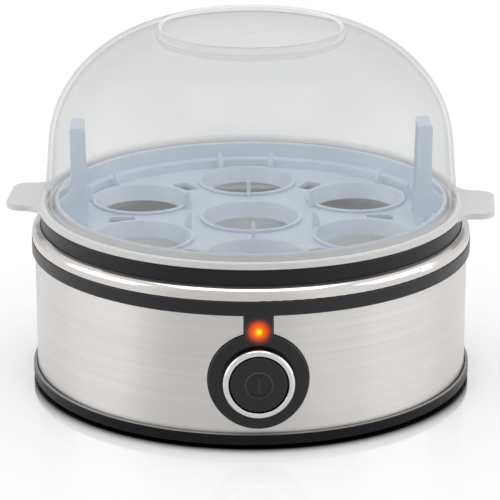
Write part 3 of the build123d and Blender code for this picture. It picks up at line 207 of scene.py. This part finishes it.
class FinishColours(bpy.types.PropertyGroup):
    """Colours of the cooker's finishes, and the sizes of their details."""

    lid: colour_setting("Lid", "Frosted clear plastic of the lid's dome", (0.77, 0.765, 0.76))
    # Painted shade: the top of the lid's dome is painted greyer than the rest
    lid_crown_shade: colour_setting("Lid crown", "Greyer top of the lid's dome", (0.56, 0.56, 0.56))
    lid_edge: colour_setting(
        "Lid edge", "Outer edge of the lid's flange and its ears", (0.80, 0.79, 0.78)
    )
    # Painted light: the flange inside its outer edge is pale frosted plastic, painted lighter
    # still to lift the shade it sits in
    lid_foot_lightened: colour_setting(
        "Lid foot", "Flange of the lid inside its outer edge", (0.93, 0.935, 0.94)
    )
    # Painted highlight: a pale line on the bead round the lid's dish
    lid_bead_highlight: colour_setting("Lid line", "Bead round the lid's dish", (0.95, 0.95, 0.95))
    # Radius of the bead that carries the painted highlight
    lid_bead: length_setting("Lid bead", "Radius of the pale bead round the lid's dish", 0.0336)
    tray: colour_setting("Tray", "Pale blue plastic of the tray", (0.66, 0.77, 0.89))
    steel: colour_setting("Shell steel", "Brushed steel of the sleeve", (0.655, 0.636, 0.618))
    rim: colour_setting("Rim steel", "Polished steel of the rim", (0.66, 0.635, 0.62))
    chrome: colour_setting("Chrome", "Ring round the button", (0.72, 0.705, 0.69))
    black: colour_setting(
        "Black plastic", "Collar, band, panel and base", (0.0080, 0.0076, 0.0100)
    )
    # Painted highlight: a pale line along the base's ledge, under the sleeve
    ledge: colour_setting(
        "Ledge", "Rubbed ledge of the base, under the sleeve", (0.3, 0.295, 0.285)
    )
    button: colour_setting("Button", "Push button", (0.0090, 0.0086, 0.0112))
    # Radius where a highlight is painted on the edge of the button's mark
    mark_reach: length_setting(
        "Mark reach", "Radius of the rubbed edge of the button's mark", 0.0049
    )
    lens_core: colour_setting("Lens core", "Lit middle of the lens", (1.0, 0.93, 0.03))
    lens_mid: colour_setting("Lens glow", "Glow round the middle of the lens", (0.96, 0.46, 0.005))
    lens_body: colour_setting("Lens body", "Body of the lens", (0.90, 0.16, 0.003))
    lens_edge: colour_setting(
        "Lens edge", "Edge of the lens, and its light on the panel", (0.66, 0.06, 0.012)
    )
    lens_reach: length_setting(
        "Lens reach", "How far the lens's light reaches from its middle", 0.006
    )
    floor: colour_setting("Floor", "Pale table top", (0.82, 0.82, 0.825))


def studio():
    return bpy.context.scene.cooker_studio


def colours():
    return bpy.context.scene.cooker_colours


# Steps that build node materials
def finish(name, base, roughness, metallic=0.0, gloss=0.5):
    """A material with one shader, and the tree that its grain is added to."""
    material = bpy.data.materials.new(name)
    material.use_nodes = True
    shader = shader_of(material)
    shader.inputs["Base Color"].default_value = (*base, 1.0)
    shader.inputs["Roughness"].default_value = roughness
    shader.inputs["Metallic"].default_value = metallic
    shader.inputs["Specular IOR Level"].default_value = gloss
    return material, material.node_tree, shader


def shader_of(material):
    return material.node_tree.nodes["Principled BSDF"]


def add(tree, kind, **settings):
    node = tree.nodes.new(kind)
    for name, value in settings.items():
        setattr(node, name, value)
    return node


def stretched(tree, scale, shift=(0.0, 0.0, 0.0)):
    """The piece's own coordinates, in metres, stretched along each axis and then shifted."""
    place = add(tree, "ShaderNodeTexCoord")
    mapping = add(tree, "ShaderNodeMapping")
    mapping.inputs["Location"].default_value = shift
    mapping.inputs["Scale"].default_value = scale
    tree.links.new(place.outputs["Object"], mapping.inputs["Vector"])
    return mapping.outputs["Vector"]


def vector_step(tree, operation, first, second=None):
    """A step of vector arithmetic. The second vector is a plain one."""
    step = add(tree, "ShaderNodeVectorMath", operation=operation)
    tree.links.new(first, step.inputs[0])
    if second is not None:
        step.inputs[1].default_value = second
    return step


def part_along(tree, vector, axis):
    """The part of a vector along one axis."""
    axes = add(tree, "ShaderNodeSeparateXYZ")
    tree.links.new(vector, axes.inputs["Vector"])
    return axes.outputs[axis]


def height(tree):
    """Height above the table, in metres."""
    return part_along(tree, stretched(tree, ALL_AXES), "Z")


def reach(tree, scale, shift=(0.0, 0.0, 0.0)):
    """Distance from the origin, in stretched and shifted coordinates."""
    return vector_step(tree, "LENGTH", stretched(tree, scale, shift)).outputs["Value"]


def noise_of(tree, detail, **settings):
    noise = add(tree, "ShaderNodeTexNoise", **settings)
    noise.inputs["Scale"].default_value = 1.0
    noise.inputs["Detail"].default_value = detail
    return noise


def grain(tree, per_metre, detail=3.0):
    """Noise in the piece's own coordinates, with so many grains in a metre along each axis."""
    noise = noise_of(tree, detail)
    tree.links.new(stretched(tree, per_metre), noise.inputs["Vector"])
    return noise.outputs["Fac"]


def rings(tree, per_metre, detail=3.0):
    """Fine turned lines round the cooker's axis."""
    noise = noise_of(tree, detail, noise_dimensions="1D")
    tree.links.new(reach(tree, (per_metre, per_metre, 0.0)), noise.inputs["W"])
    return noise.outputs["Fac"]


def fitted(tree, value, given, wanted, curve="LINEAR"):
    """A value carried from one range to another, and held at both ends."""
    fit = add(tree, "ShaderNodeMapRange", interpolation_type=curve)
    for name, number in zip(("From Min", "From Max", "To Min", "To Max"), (*given, *wanted)):
        fit.inputs[name].default_value = number
    tree.links.new(value, fit.inputs["Value"])
    return fit.outputs["Result"]


def smooth(tree, value, given, wanted):
    """As fitted, with soft ends."""
    return fitted(tree, value, given, wanted, "SMOOTHSTEP")


def joined(tree, operation, first, second=None):
    """A step of arithmetic. The second value may be a plain number, or none."""
    step = add(tree, "ShaderNodeMath", operation=operation)
    tree.links.new(first, step.inputs[0])
    if isinstance(second, bpy.types.NodeSocket):
        tree.links.new(second, step.inputs[1])
    elif second is not None:
        step.inputs[1].default_value = second
    return step.outputs["Value"]


def times(tree, first, second):
    return joined(tree, "MULTIPLY", first, second)


def larger(tree, first, second):
    return joined(tree, "MAXIMUM", first, second)


def weighed(tree, first, first_share, second, second_share):
    """Two values added up, each with its share."""
    return joined(tree, "ADD", times(tree, first, first_share), times(tree, second, second_share))


def off(tree, value, place):
    """How far a value is from a plain number, to either side."""
    return joined(tree, "ABSOLUTE", joined(tree, "SUBTRACT", value, place))


def colour_steps(tree, value, stops):
    """A run of colours along a value from 0 to 1."""
    ramp = add(tree, "ShaderNodeValToRGB")
    steps = ramp.color_ramp.elements
    steps.remove(steps[-1])
    steps[0].position = stops[0][0]
    steps[0].color = (*stops[0][1], 1.0)
    for position, tone in stops[1:]:
        steps.new(position).color = (*tone, 1.0)
    tree.links.new(value, ramp.inputs["Fac"])
    return ramp.outputs["Color"]


def blend(tree, share, first, second):
    """The first colour where the share is 0 and the second where it is 1."""
    mix = add(tree, "ShaderNodeMixRGB")
    tree.links.new(share, mix.inputs["Fac"])
    for socket, tone in ((mix.inputs["Color1"], first), (mix.inputs["Color2"], second)):
        if isinstance(tone, bpy.types.NodeSocket):
            tree.links.new(tone, socket)
        else:
            socket.default_value = (*tone, 1.0)
    return mix.outputs["Color"]


def dimmed(base, share):
    return [part * share for part in base]


def tones(tree, value, base, darkest, lightest):
    """A base colour between two shares of its strength."""
    shares = zip(COMMON_NOISE, (darkest, lightest))
    return colour_steps(tree, value, [(place, dimmed(base, share)) for place, share in shares])


def shade(tree, shader, value, base, darkest, lightest):
    """Colour that follows a grain between two shares of its strength."""
    tree.links.new(tones(tree, value, base, darkest, lightest), shader.inputs["Base Color"])


def roughen(tree, shader, value, low, high):
    """Roughness that follows a grain between two values."""
    tree.links.new(fitted(tree, value, COMMON_NOISE, (low, high)), shader.inputs["Roughness"])


def relief(tree, shader, value, depth, strength=1.0):
    """Fine relief of a depth in metres."""
    bump = add(tree, "ShaderNodeBump")
    bump.inputs["Strength"].default_value = strength
    bump.inputs["Distance"].default_value = depth
    tree.links.new(value, bump.inputs["Height"])
    tree.links.new(bump.outputs["Normal"], shader.inputs["Normal"])


def turned_grain(tree, shader, amount, turn):
    """Stretches the gloss across lines that run round the cooker's axis."""
    along = add(tree, "ShaderNodeTangent", direction_type="RADIAL", axis="Z")
    shader.inputs["Anisotropic"].default_value = amount
    shader.inputs["Anisotropic Rotation"].default_value = turn
    tree.links.new(along.outputs["Tangent"], shader.inputs["Tangent"])


def paint_highlight(material, share, tone):
    """Paints a highlight on a plastic: another tone where the share is 1."""
    tree = material.node_tree
    base = shader_of(material).inputs["Base Color"]
    tree.links.new(blend(tree, share, base.links[0].from_socket, tone), base)


# Finishes
def moulded_plastic(name, base, roughness, texture=0.000006, gloss=0.35):
    """Moulded plastic with a fine spark-eroded texture and faint flow marks."""
    material, tree, shader = finish(name, base, roughness, gloss=gloss)
    flow = grain(tree, (35.0, 35.0, 60.0), detail=4.0)
    shade(tree, shader, flow, base, darkest=0.88, lightest=1.12)
    sparks = grain(tree, (2600.0, 2600.0, 2600.0), detail=2.0)
    roughen(tree, shader, sparks, roughness - 0.05, roughness + 0.06)
    relief(tree, shader, sparks, texture, strength=0.6)
    return material


def plain_metal(name, base, roughness):
    """Bare metal with drawn or rolled lines and cloudy roughness."""
    material, tree, shader = finish(name, base, roughness, metallic=1.0)
    drawn = grain(tree, (900.0, 900.0, 900.0), detail=3.0)
    shade(tree, shader, drawn, base, darkest=0.86, lightest=1.08)
    cloud = grain(tree, (120.0, 120.0, 120.0), detail=4.0)
    roughen(tree, shader, cloud, roughness - 0.06, roughness + 0.08)
    relief(tree, shader, drawn, depth=0.000004, strength=0.5)
    return material


def brushed_shell_steel():
    """Steel that is brushed round the sleeve, so its gloss stands in upright bands."""
    base = colours().steel
    material, tree, shader = finish("brushed_shell_steel", base, roughness=0.34, metallic=1.0)
    brushing = grain(tree, (14.0, 14.0, 5200.0), detail=5.0)
    streaks = grain(tree, (9.0, 9.0, 900.0), detail=4.0)
    lines = weighed(tree, brushing, 0.65, streaks, 0.35)
    shade(tree, shader, lines, base, darkest=0.90, lightest=1.06)
    roughen(tree, shader, brushing, low=0.27, high=0.40)
    relief(tree, shader, brushing, depth=0.000005, strength=0.35)
    turned_grain(tree, shader, amount=0.75, turn=0.25)
    return material


def polished_steel(name, base, roughness):
    """Bright polished metal with the faintest wiping lines."""
    material, tree, shader = finish(name, base, roughness, metallic=1.0)
    wiping = grain(tree, (40.0, 40.0, 1400.0), detail=4.0)
    shade(tree, shader, wiping, base, darkest=0.97, lightest=1.02)
    roughen(tree, shader, wiping, roughness * 0.7, roughness * 1.4)
    relief(tree, shader, wiping, depth=0.000001, strength=0.15)
    return material


def spun_dish_steel():
    """Heating plate: steel with turned lines and a dull film where water has boiled off."""
    base = (0.66, 0.66, 0.66)
    material, tree, shader = finish("spun_dish_steel", base, roughness=0.25, metallic=1.0)
    lines = rings(tree, 700.0, detail=2.0)
    film = grain(tree, (28.0, 28.0, 28.0), detail=3.0)
    worn = weighed(tree, lines, 0.7, film, 0.3)
    shade(tree, shader, worn, base, darkest=0.90, lightest=1.06)
    roughen(tree, shader, film, low=0.29, high=0.36)
    relief(tree, shader, lines, depth=0.000002, strength=0.2)
    return material


def frosted_lid_plastic():
    """Milky-clear plastic: thin in the dome, denser edge on, and pale in the flange and ears. The
    dome's top has painted shade, the bead round its dish has a painted highlight, and the flange
    inside its edge is painted lighter to lift its shade.
    """
    tint = colours()
    material, tree, shader = finish("frosted_lid_plastic", tint.lid, roughness=0.16)
    haze = grain(tree, (45.0, 45.0, 25.0), detail=4.0)
    roughen(tree, shader, haze, low=0.10, high=0.17)
    ripple = grain(tree, (160.0, 160.0, 90.0), detail=2.0)
    relief(tree, shader, ripple, depth=0.00002, strength=0.12)

    top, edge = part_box("lid")[1].z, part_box("lid")[1].y
    flange_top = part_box("upper_frame")[1].z + FLANGE_STEP
    rise, away = height(tree), reach(tree, ROUND_AXES)
    thick = smooth(tree, rise, [flange_top + blur for blur in FLANGE_BLUR], FADE_OUT)
    inside = fitted(tree, away, [edge - lip for lip in FLANGE_LIP], FADE_OUT)
    foot = smooth(tree, rise, (flange_top, flange_top + FOOT_RISE), FADE_OUT)
    # Painted shade on the dome's top, growing towards the top
    crown = smooth(tree, rise, [top - depth for depth in CROWN_DEPTH], FADE_IN)
    upper = fitted(tree, rise, [top - depth for depth in BEAD_DEPTH], FADE_IN)
    # Painted highlight on the bead round the dish, pale and dense
    bead = times(tree, smooth(tree, off(tree, away, tint.lid_bead), BEAD_WIDTH, FADE_OUT), upper)

    milk = tones(tree, haze, tint.lid, darkest=0.97, lightest=1.03)
    dome = blend(tree, crown, milk, tint.lid_crown_shade)
    dome = blend(tree, foot, dome, tint.lid_edge)
    dome = blend(tree, bead, dome, tint.lid_bead_highlight)
    # The flange inside its edge is painted lighter to lift its shade
    flange = blend(tree, inside, tint.lid_edge, tint.lid_foot_lightened)
    tree.links.new(blend(tree, thick, dome, flange), shader.inputs["Base Color"])

    facing = add(tree, "ShaderNodeLayerWeight").outputs["Facing"]
    wall = fitted(tree, facing, WALL_FACING, WALL_DENSITY)
    outline = smooth(tree, facing, OUTLINE_FACING, OUTLINE_DENSITY)
    dish = fitted(tree, away, (tint.lid_bead, tint.lid_bead + DISH_BLUR), DISH_DENSITY)
    density = times(tree, joined(tree, "ADD", wall, outline), dish)
    for part, share in ((foot, FOOT_DENSITY), (bead, BEAD_DENSITY), (thick, FLANGE_DENSITY)):
        density = larger(tree, density, times(tree, part, share))
    tree.links.new(density, shader.inputs["Alpha"])
    shader.inputs["IOR"].default_value = LID_IOR
    return material


def pale_tray_plastic():
    """Pale blue plastic that lets some light through."""
    base = colours().tray
    material, tree, shader = finish("pale_tray_plastic", base, roughness=0.3)
    flow = grain(tree, (60.0, 60.0, 40.0), detail=4.0)
    shade(tree, shader, flow, base, darkest=0.94, lightest=1.05)
    fine = grain(tree, (1800.0, 1800.0, 1800.0), detail=2.0)
    roughen(tree, shader, fine, low=0.24, high=0.34)
    relief(tree, shader, fine, depth=0.000004, strength=0.4)
    shader.inputs["Subsurface Weight"].default_value = 0.35
    shader.inputs["Subsurface Radius"].default_value = (0.9, 1.0, 1.1)
    shader.inputs["Subsurface Scale"].default_value = 0.003
    return material


def lens_glow(tree, shader):
    """The lamp's round glow, over the lens and the panel close round it."""
    tint = colours()
    low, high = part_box("indicator_lens")
    size = 1.0 / tint.lens_reach
    middle = (low + high) * (-size / 2)
    away = reach(tree, (size, 0.0, size), (middle.x, 0.0, middle.z))
    lit = (tint.lens_core, tint.lens_mid, tint.lens_body, tint.lens_edge)
    stops = list(zip(LENS_STEPS, lit))
    stops += [(step, dimmed(tint.lens_edge, share)) for step, share in LENS_FADE]
    tree.links.new(colour_steps(tree, away, stops), shader.inputs["Emission Color"])
    shader.inputs["Emission Strength"].default_value = 1.0


def lit_lens_plastic():
    """Orange lens, brightest in its middle, where the lamp is behind it."""
    base = dimmed(colours().lens_edge, LENS_UNLIT)
    material, tree, shader = finish("lit_lens_plastic", base, roughness=0.2, gloss=0.1)
    lens_glow(tree, shader)
    facets = grain(tree, (900.0, 900.0, 900.0), detail=1.0)
    roughen(tree, shader, facets, low=0.15, high=0.3)
    relief(tree, shader, facets, depth=0.00002, strength=0.2)
    return material


def satin_black(name, gloss=0.38):
    return moulded_plastic(name, colours().black, roughness=0.34, gloss=gloss)


def panel_plastic():
    """Satin black plastic with the lens's light on it, close round the lens."""
    material = satin_black("panel_plastic")
    lens_glow(material.node_tree, shader_of(material))
    return material


def button_plastic():
    """Satin black plastic, with a highlight painted on the ring and the bar of the button's raised
    mark.
    """
    tint = colours()
    material = moulded_plastic("button_plastic", tint.button, roughness=0.3, gloss=0.38)
    tree = material.node_tree
    low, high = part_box("button_cap")
    middle = (0.0, 0.0, -(low.z + high.z) / 2)
    away = reach(tree, FRONT_AXES, middle)
    ring = fitted(tree, off(tree, away, tint.mark_reach), MARK_RING, FADE_OUT)
    aside = joined(tree, "ABSOLUTE", part_along(tree, stretched(tree, FRONT_AXES, middle), "X"))
    across = fitted(tree, aside, MARK_BAR_WIDTH, MARK_BAR_HIGHLIGHT)
    bar = times(tree, across, fitted(tree, away, MARK_BAR_END, FADE_OUT))
    # Painted highlight on the mark's ring and bar
    paint_highlight(material, larger(tree, ring, bar), dimmed(tint.button, MARK_HIGHLIGHT_GAIN))
    return material


def base_plastic():
    """Satin black plastic, with a pale highlight painted along the ledge that the sleeve stands
    in.
    """
    material = satin_black("base_plastic", gloss=0.12)
    tree = material.node_tree
    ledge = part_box("body_shell")[0].z + LEDGE_STEP
    # Painted highlight along the top of the ledge
    highlighted = fitted(tree, height(tree), [ledge - blur for blur in LEDGE_BLUR], FADE_IN)
    paint_highlight(material, highlighted, colours().ledge)
    return material


# Pieces
def paint(material, *nodes):
    """Gives nodes of the frame a finish in place of their plain one."""
    for node in nodes:
        slots = NODES[node].data.materials
        slots.clear()
        slots.append(material)


def mesh_object(name, bm, material):
    """An object at the origin from a finished bmesh, which is freed."""
    mesh = bpy.data.meshes.new(name)
    bm.to_mesh(mesh)
    bm.free()
    mesh.materials.append(material)
    piece = bpy.data.objects.new(name, mesh)
    bpy.context.scene.collection.objects.link(piece)
    return piece


class PaintLid(bpy.types.Operator):
    """Frosted clear finish of the domed lid"""

    bl_idname = "cooker.paint_lid"
    bl_label = "Lid"

    def execute(self, context):
        paint(frosted_lid_plastic(), "lid")
        return {"FINISHED"}


class PaintTray(bpy.types.Operator):
    """Pale blue finish of the egg tray"""

    bl_idname = "cooker.paint_tray"
    bl_label = "Egg tray"

    def execute(self, context):
        paint(pale_tray_plastic(), "egg_tray", "tray_seats")
        return {"FINISHED"}


class PaintBody(bpy.types.Operator):
    """Brushed sleeve and polished rim"""

    bl_idname = "cooker.paint_body"
    bl_label = "Steel body"

    def execute(self, context):
        paint(brushed_shell_steel(), "body_shell")
        paint(polished_steel("polished_rim_steel", colours().rim, roughness=0.13), "rim_ring")
        return {"FINISHED"}


class PaintMouldings(bpy.types.Operator):
    """Satin black collar, band with panel, base, feet and gland"""

    bl_idname = "cooker.paint_mouldings"
    bl_label = "Black mouldings"

    def execute(self, context):
        paint(satin_black("collar_plastic", gloss=0.28), "upper_frame")
        paint(base_plastic(), "base_pan")
        paint(panel_plastic(), "control_panel")
        rubber = moulded_plastic(
            "soft_black_rubber", (0.014, 0.014, 0.014), roughness=0.72, texture=0.00001, gloss=0.2
        )
        feet = [node for node in NODES if node.startswith("foot_")]
        paint(rubber, *feet, "cord_gland")
        return {"FINISHED"}


class PaintButton(bpy.types.Operator):
    """Push button, chrome ring and lit lens"""

    bl_idname = "cooker.paint_button"
    bl_label = "Button and lens"

    def execute(self, context):
        paint(button_plastic(), "button_cap")
        paint(polished_steel("button_chrome", colours().chrome, roughness=0.09), "button_ring")
        paint(lit_lens_plastic(), "indicator_lens")
        return {"FINISHED"}


class PaintHeater(bpy.types.Operator):
    """Heating plate, what is fixed under it, and the plated steel pieces"""

    bl_idname = "cooker.paint_heater"
    bl_label = "Heater"

    def execute(self, context):
        paint(spun_dish_steel(), "heating_plate")
        paint(moulded_plastic("grey_silicone", (0.32, 0.31, 0.30), roughness=0.6), "plate_gasket")
        aluminium = plain_metal("pressed_aluminium", (0.62, 0.62, 0.63), roughness=0.38)
        paint(aluminium, "heat_spreader")
        sheath = plain_metal("heater_sheath", (0.40, 0.39, 0.38), roughness=0.5)
        paint(sheath, "heating_element")
        zinc = plain_metal("zinc_plated_steel", (0.58, 0.58, 0.59), roughness=0.33)
        paint(zinc, *ZINC_NODES)
        return {"FINISHED"}


class MakeSpring(bpy.types.Operator):
    """Return spring that sits against the switch behind the button, made as one merged piece"""

    bl_idname = "cooker.make_spring"
    bl_label = "Return spring"

    def execute(self, context):
        bm = bmesh.new()
        bm.from_mesh(NODES["return_spring"].data)
        bmesh.ops.remove_doubles(bm, verts=bm.verts, dist=SAME_POINT)
        wire = plain_metal("spring_wire", (0.5, 0.5, 0.52), roughness=0.3)
        coil = mesh_object("spring_coil", bm, wire)
        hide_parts("return_spring")
        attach(coil, "base")
        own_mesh(coil)
        return {"FINISHED"}


class PaintInside(bpy.types.Operator):
    """Switch, board, terminal block and wiring"""

    bl_idname = "cooker.paint_inside"
    bl_label = "Inside"

    def execute(self, context):
        for name, base, roughness, nodes in INSIDE_PLASTICS:
            paint(moulded_plastic(name, base, roughness), *nodes)
        fibre = moulded_plastic(
            "fibre_sleeving", (0.58, 0.55, 0.48), roughness=0.7, texture=0.00002
        )
        paint(fibre, "switch_wire", "fuse_wire", "element_wire")
        return {"FINISHED"}


# Studio: floor, sky, soft lamps and camera
def seen_directly(tree):
    """1 for what the camera sees, also through clear plastic, and 0 for the rest."""
    path = add(tree, "ShaderNodeLightPath")
    return larger(tree, path.outputs["Is Camera Ray"], path.outputs["Is Transmission Ray"])


def mirrored_white(tree, way):
    """How white metal and gloss see the studio: white, but dimmer in front and behind."""
    level = vector_step(tree, "MULTIPLY", way, ROUND_AXES).outputs["Vector"]
    along = vector_step(tree, "NORMALIZE", level).outputs["Vector"]
    side = studio().dim_side
    dim_way = (-math.sin(side), -math.cos(side), 0.0)
    front = vector_step(tree, "DOT_PRODUCT", along, dim_way).outputs["Value"]
    white = smooth(tree, front, FRONT_ZONE, (1.0, studio().dim_share))
    back = part_along(tree, along, "Y")
    white = times(tree, white, smooth(tree, back, BACK_ZONE, (1.0, studio().back_share)))
    return times(tree, white, add(tree, "ShaderNodeLightPath").outputs["Is Glossy Ray"])


def along_floor(tree, away, shares):
    """A share that changes with the distance from the base."""
    return colour_steps(tree, away, [(place, (share, share, share)) for place, share in shares])


def mixed(tree, share, first, second):
    """The first shader where the share is 0 and the second where it is 1."""
    mix = add(tree, "ShaderNodeMixShader")
    tree.links.new(share, mix.inputs["Fac"])
    tree.links.new(first, mix.inputs[1])
    tree.links.new(second, mix.inputs[2])
    return mix.outputs["Shader"]


def table_white():
    """Pale, with the cooker's shadow and mirror image close by, and white further off."""
    base = colours().floor
    material, tree, shader = finish("table_white", base, roughness=0.16)
    cloud = grain(tree, (3.0, 3.0, 3.0), detail=2.0)
    shade(tree, shader, cloud, base, darkest=0.995, lightest=1.005)
    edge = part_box("base_pan")[1].x
    away = fitted(tree, reach(tree, ALL_AXES), (edge, edge + FLOOR_NEAR), FADE_IN)
    direct = seen_directly(tree)
    mirrored = mirrored_white(tree, stretched(tree, ALL_AXES))
    white = add(tree, "ShaderNodeEmission")
    tree.links.new(larger(tree, direct, mirrored), white.inputs["Strength"])
    seen = fitted(tree, joined(tree, "ADD", direct, mirrored), FLOOR_SEEN, FADE_IN)
    lit = times(tree, along_floor(tree, away, FLOOR_LIT), seen)
    ground = mixed(tree, lit, shader.outputs["BSDF"], white.outputs["Emission"])
    mirror = add(tree, "ShaderNodeBsdfGlossy")
    mirror.inputs["Color"].default_value = WHITE
    mirror.inputs["Roughness"].default_value = FLOOR_GLOSS
    image = times(tree, along_floor(tree, away, FLOOR_IMAGE), direct)
    table = mixed(tree, image, ground, mirror.outputs["BSDF"])
    tree.links.new(table, tree.nodes["Material Output"].inputs["Surface"])
    return material


def table_top():
    bm = bmesh.new()
    size = studio().floor_reach
    bmesh.ops.create_grid(bm, x_segments=FLOOR_CELLS, y_segments=FLOOR_CELLS, size=size)
    return mesh_object("table_top", bm, table_white())


def white_sky():
    """White where the camera, metal and clear plastic see it, and softer as a light."""
    world = bpy.data.worlds.new("white_sky")
    world.use_nodes = True
    bpy.context.scene.world = world
    tree = world.node_tree
    background = tree.nodes["Background"]
    background.inputs["Color"].default_value = WHITE
    way = add(tree, "ShaderNodeTexCoord").outputs["Generated"]
    seen = larger(tree, seen_directly(tree), mirrored_white(tree, way))
    tree.links.new(larger(tree, seen, studio().sky), background.inputs["Strength"])


def softbox(name, power, azimuth, elevation, distance, width, depth):
    """A soft lamp that faces the cooker. Azimuth 0 is in front of it, and 90 on its right."""
    aim = Vector((0.0, 0.0, CAD_BOX[1][2] / 2))
    across, up = math.radians(azimuth), math.radians(elevation)
    way = Vector(
        (math.sin(across) * math.cos(up), -math.cos(across) * math.cos(up), math.sin(up))
    )
    lamp = bpy.data.lights.new(name, "AREA")
    lamp.shape = "RECTANGLE"
    lamp.size = width
    lamp.size_y = depth
    lamp.energy = power
    holder = bpy.data.objects.new(name, lamp)
    holder.location = aim + way * distance
    holder.rotation_euler = way.to_track_quat("Z", "Y").to_euler()
    bpy.context.scene.collection.objects.link(holder)


def photo_camera():
    """Camera at the photograph's viewing angle."""
    settings = studio()
    camera = bpy.data.cameras.new("photo_camera")
    camera.sensor_width = CAMERA_FRAME_MM
    camera.lens = settings.lens_mm
    camera.clip_start = CAMERA_NEAR
    camera.clip_end = CAMERA_FAR
    holder = bpy.data.objects.new("photo_camera", camera)
    side, away = settings.camera_side, settings.camera_reach
    holder.location = (-away * math.sin(side), -away * math.cos(side), settings.camera_height)
    holder.rotation_euler = (
        math.pi / 2 - settings.camera_drop, 0.0, settings.camera_aim - side
    )
    bpy.context.scene.collection.objects.link(holder)
    bpy.context.scene.camera = holder


class SetStage(bpy.types.Operator):
    """Floor, sky, soft lamps and camera"""

    bl_idname = "cooker.set_stage"
    bl_label = "Studio"

    def execute(self, context):
        table_top()
        white_sky()
        softbox("left_softbox", studio().side_power, azimuth=-84, **SIDE_LAMP)
        softbox("right_softbox", studio().side_power, azimuth=82, **SIDE_LAMP)
        softbox(
            "top_softbox", studio().top_power,
            azimuth=0, elevation=80, distance=1.4, width=1.4, depth=1.0,
        )
        photo_camera()
        context.scene.view_settings.view_transform = "Standard"
        return {"FINISHED"}


OPERATORS = (
    PaintLid,
    PaintTray,
    PaintBody,
    PaintMouldings,
    PaintButton,
    PaintHeater,
    MakeSpring,
    PaintInside,
    SetStage,
)


class CookerPanel(bpy.types.Panel):
    """Lists the steps that dress the cooker"""

    bl_idname = "VIEW3D_PT_egg_cooker"
    bl_label = "Egg cooker"
    bl_space_type = "VIEW_3D"
    bl_region_type = "UI"
    bl_category = "Egg cooker"

    def draw(self, context):
        for step in OPERATORS:
            self.layout.operator(step.bl_idname)


CLASSES = (StudioSettings, FinishColours, *OPERATORS, CookerPanel)


def register():
    for item in CLASSES:
        bpy.utils.register_class(item)
    bpy.types.Scene.cooker_studio = PointerProperty(type=StudioSettings)
    bpy.types.Scene.cooker_colours = PointerProperty(type=FinishColours)


def unregister():
    del bpy.types.Scene.cooker_studio
    del bpy.types.Scene.cooker_colours
    for item in reversed(CLASSES):
        bpy.utils.unregister_class(item)


def main():
    register()
    bpy.ops.cooker.paint_lid()
    bpy.ops.cooker.paint_tray()
    bpy.ops.cooker.paint_body()
    bpy.ops.cooker.paint_mouldings()
    bpy.ops.cooker.paint_button()
    bpy.ops.cooker.paint_heater()
    bpy.ops.cooker.make_spring()
    bpy.ops.cooker.paint_inside()
    bpy.ops.cooker.set_stage()


if __name__ == "__main__":
    main()
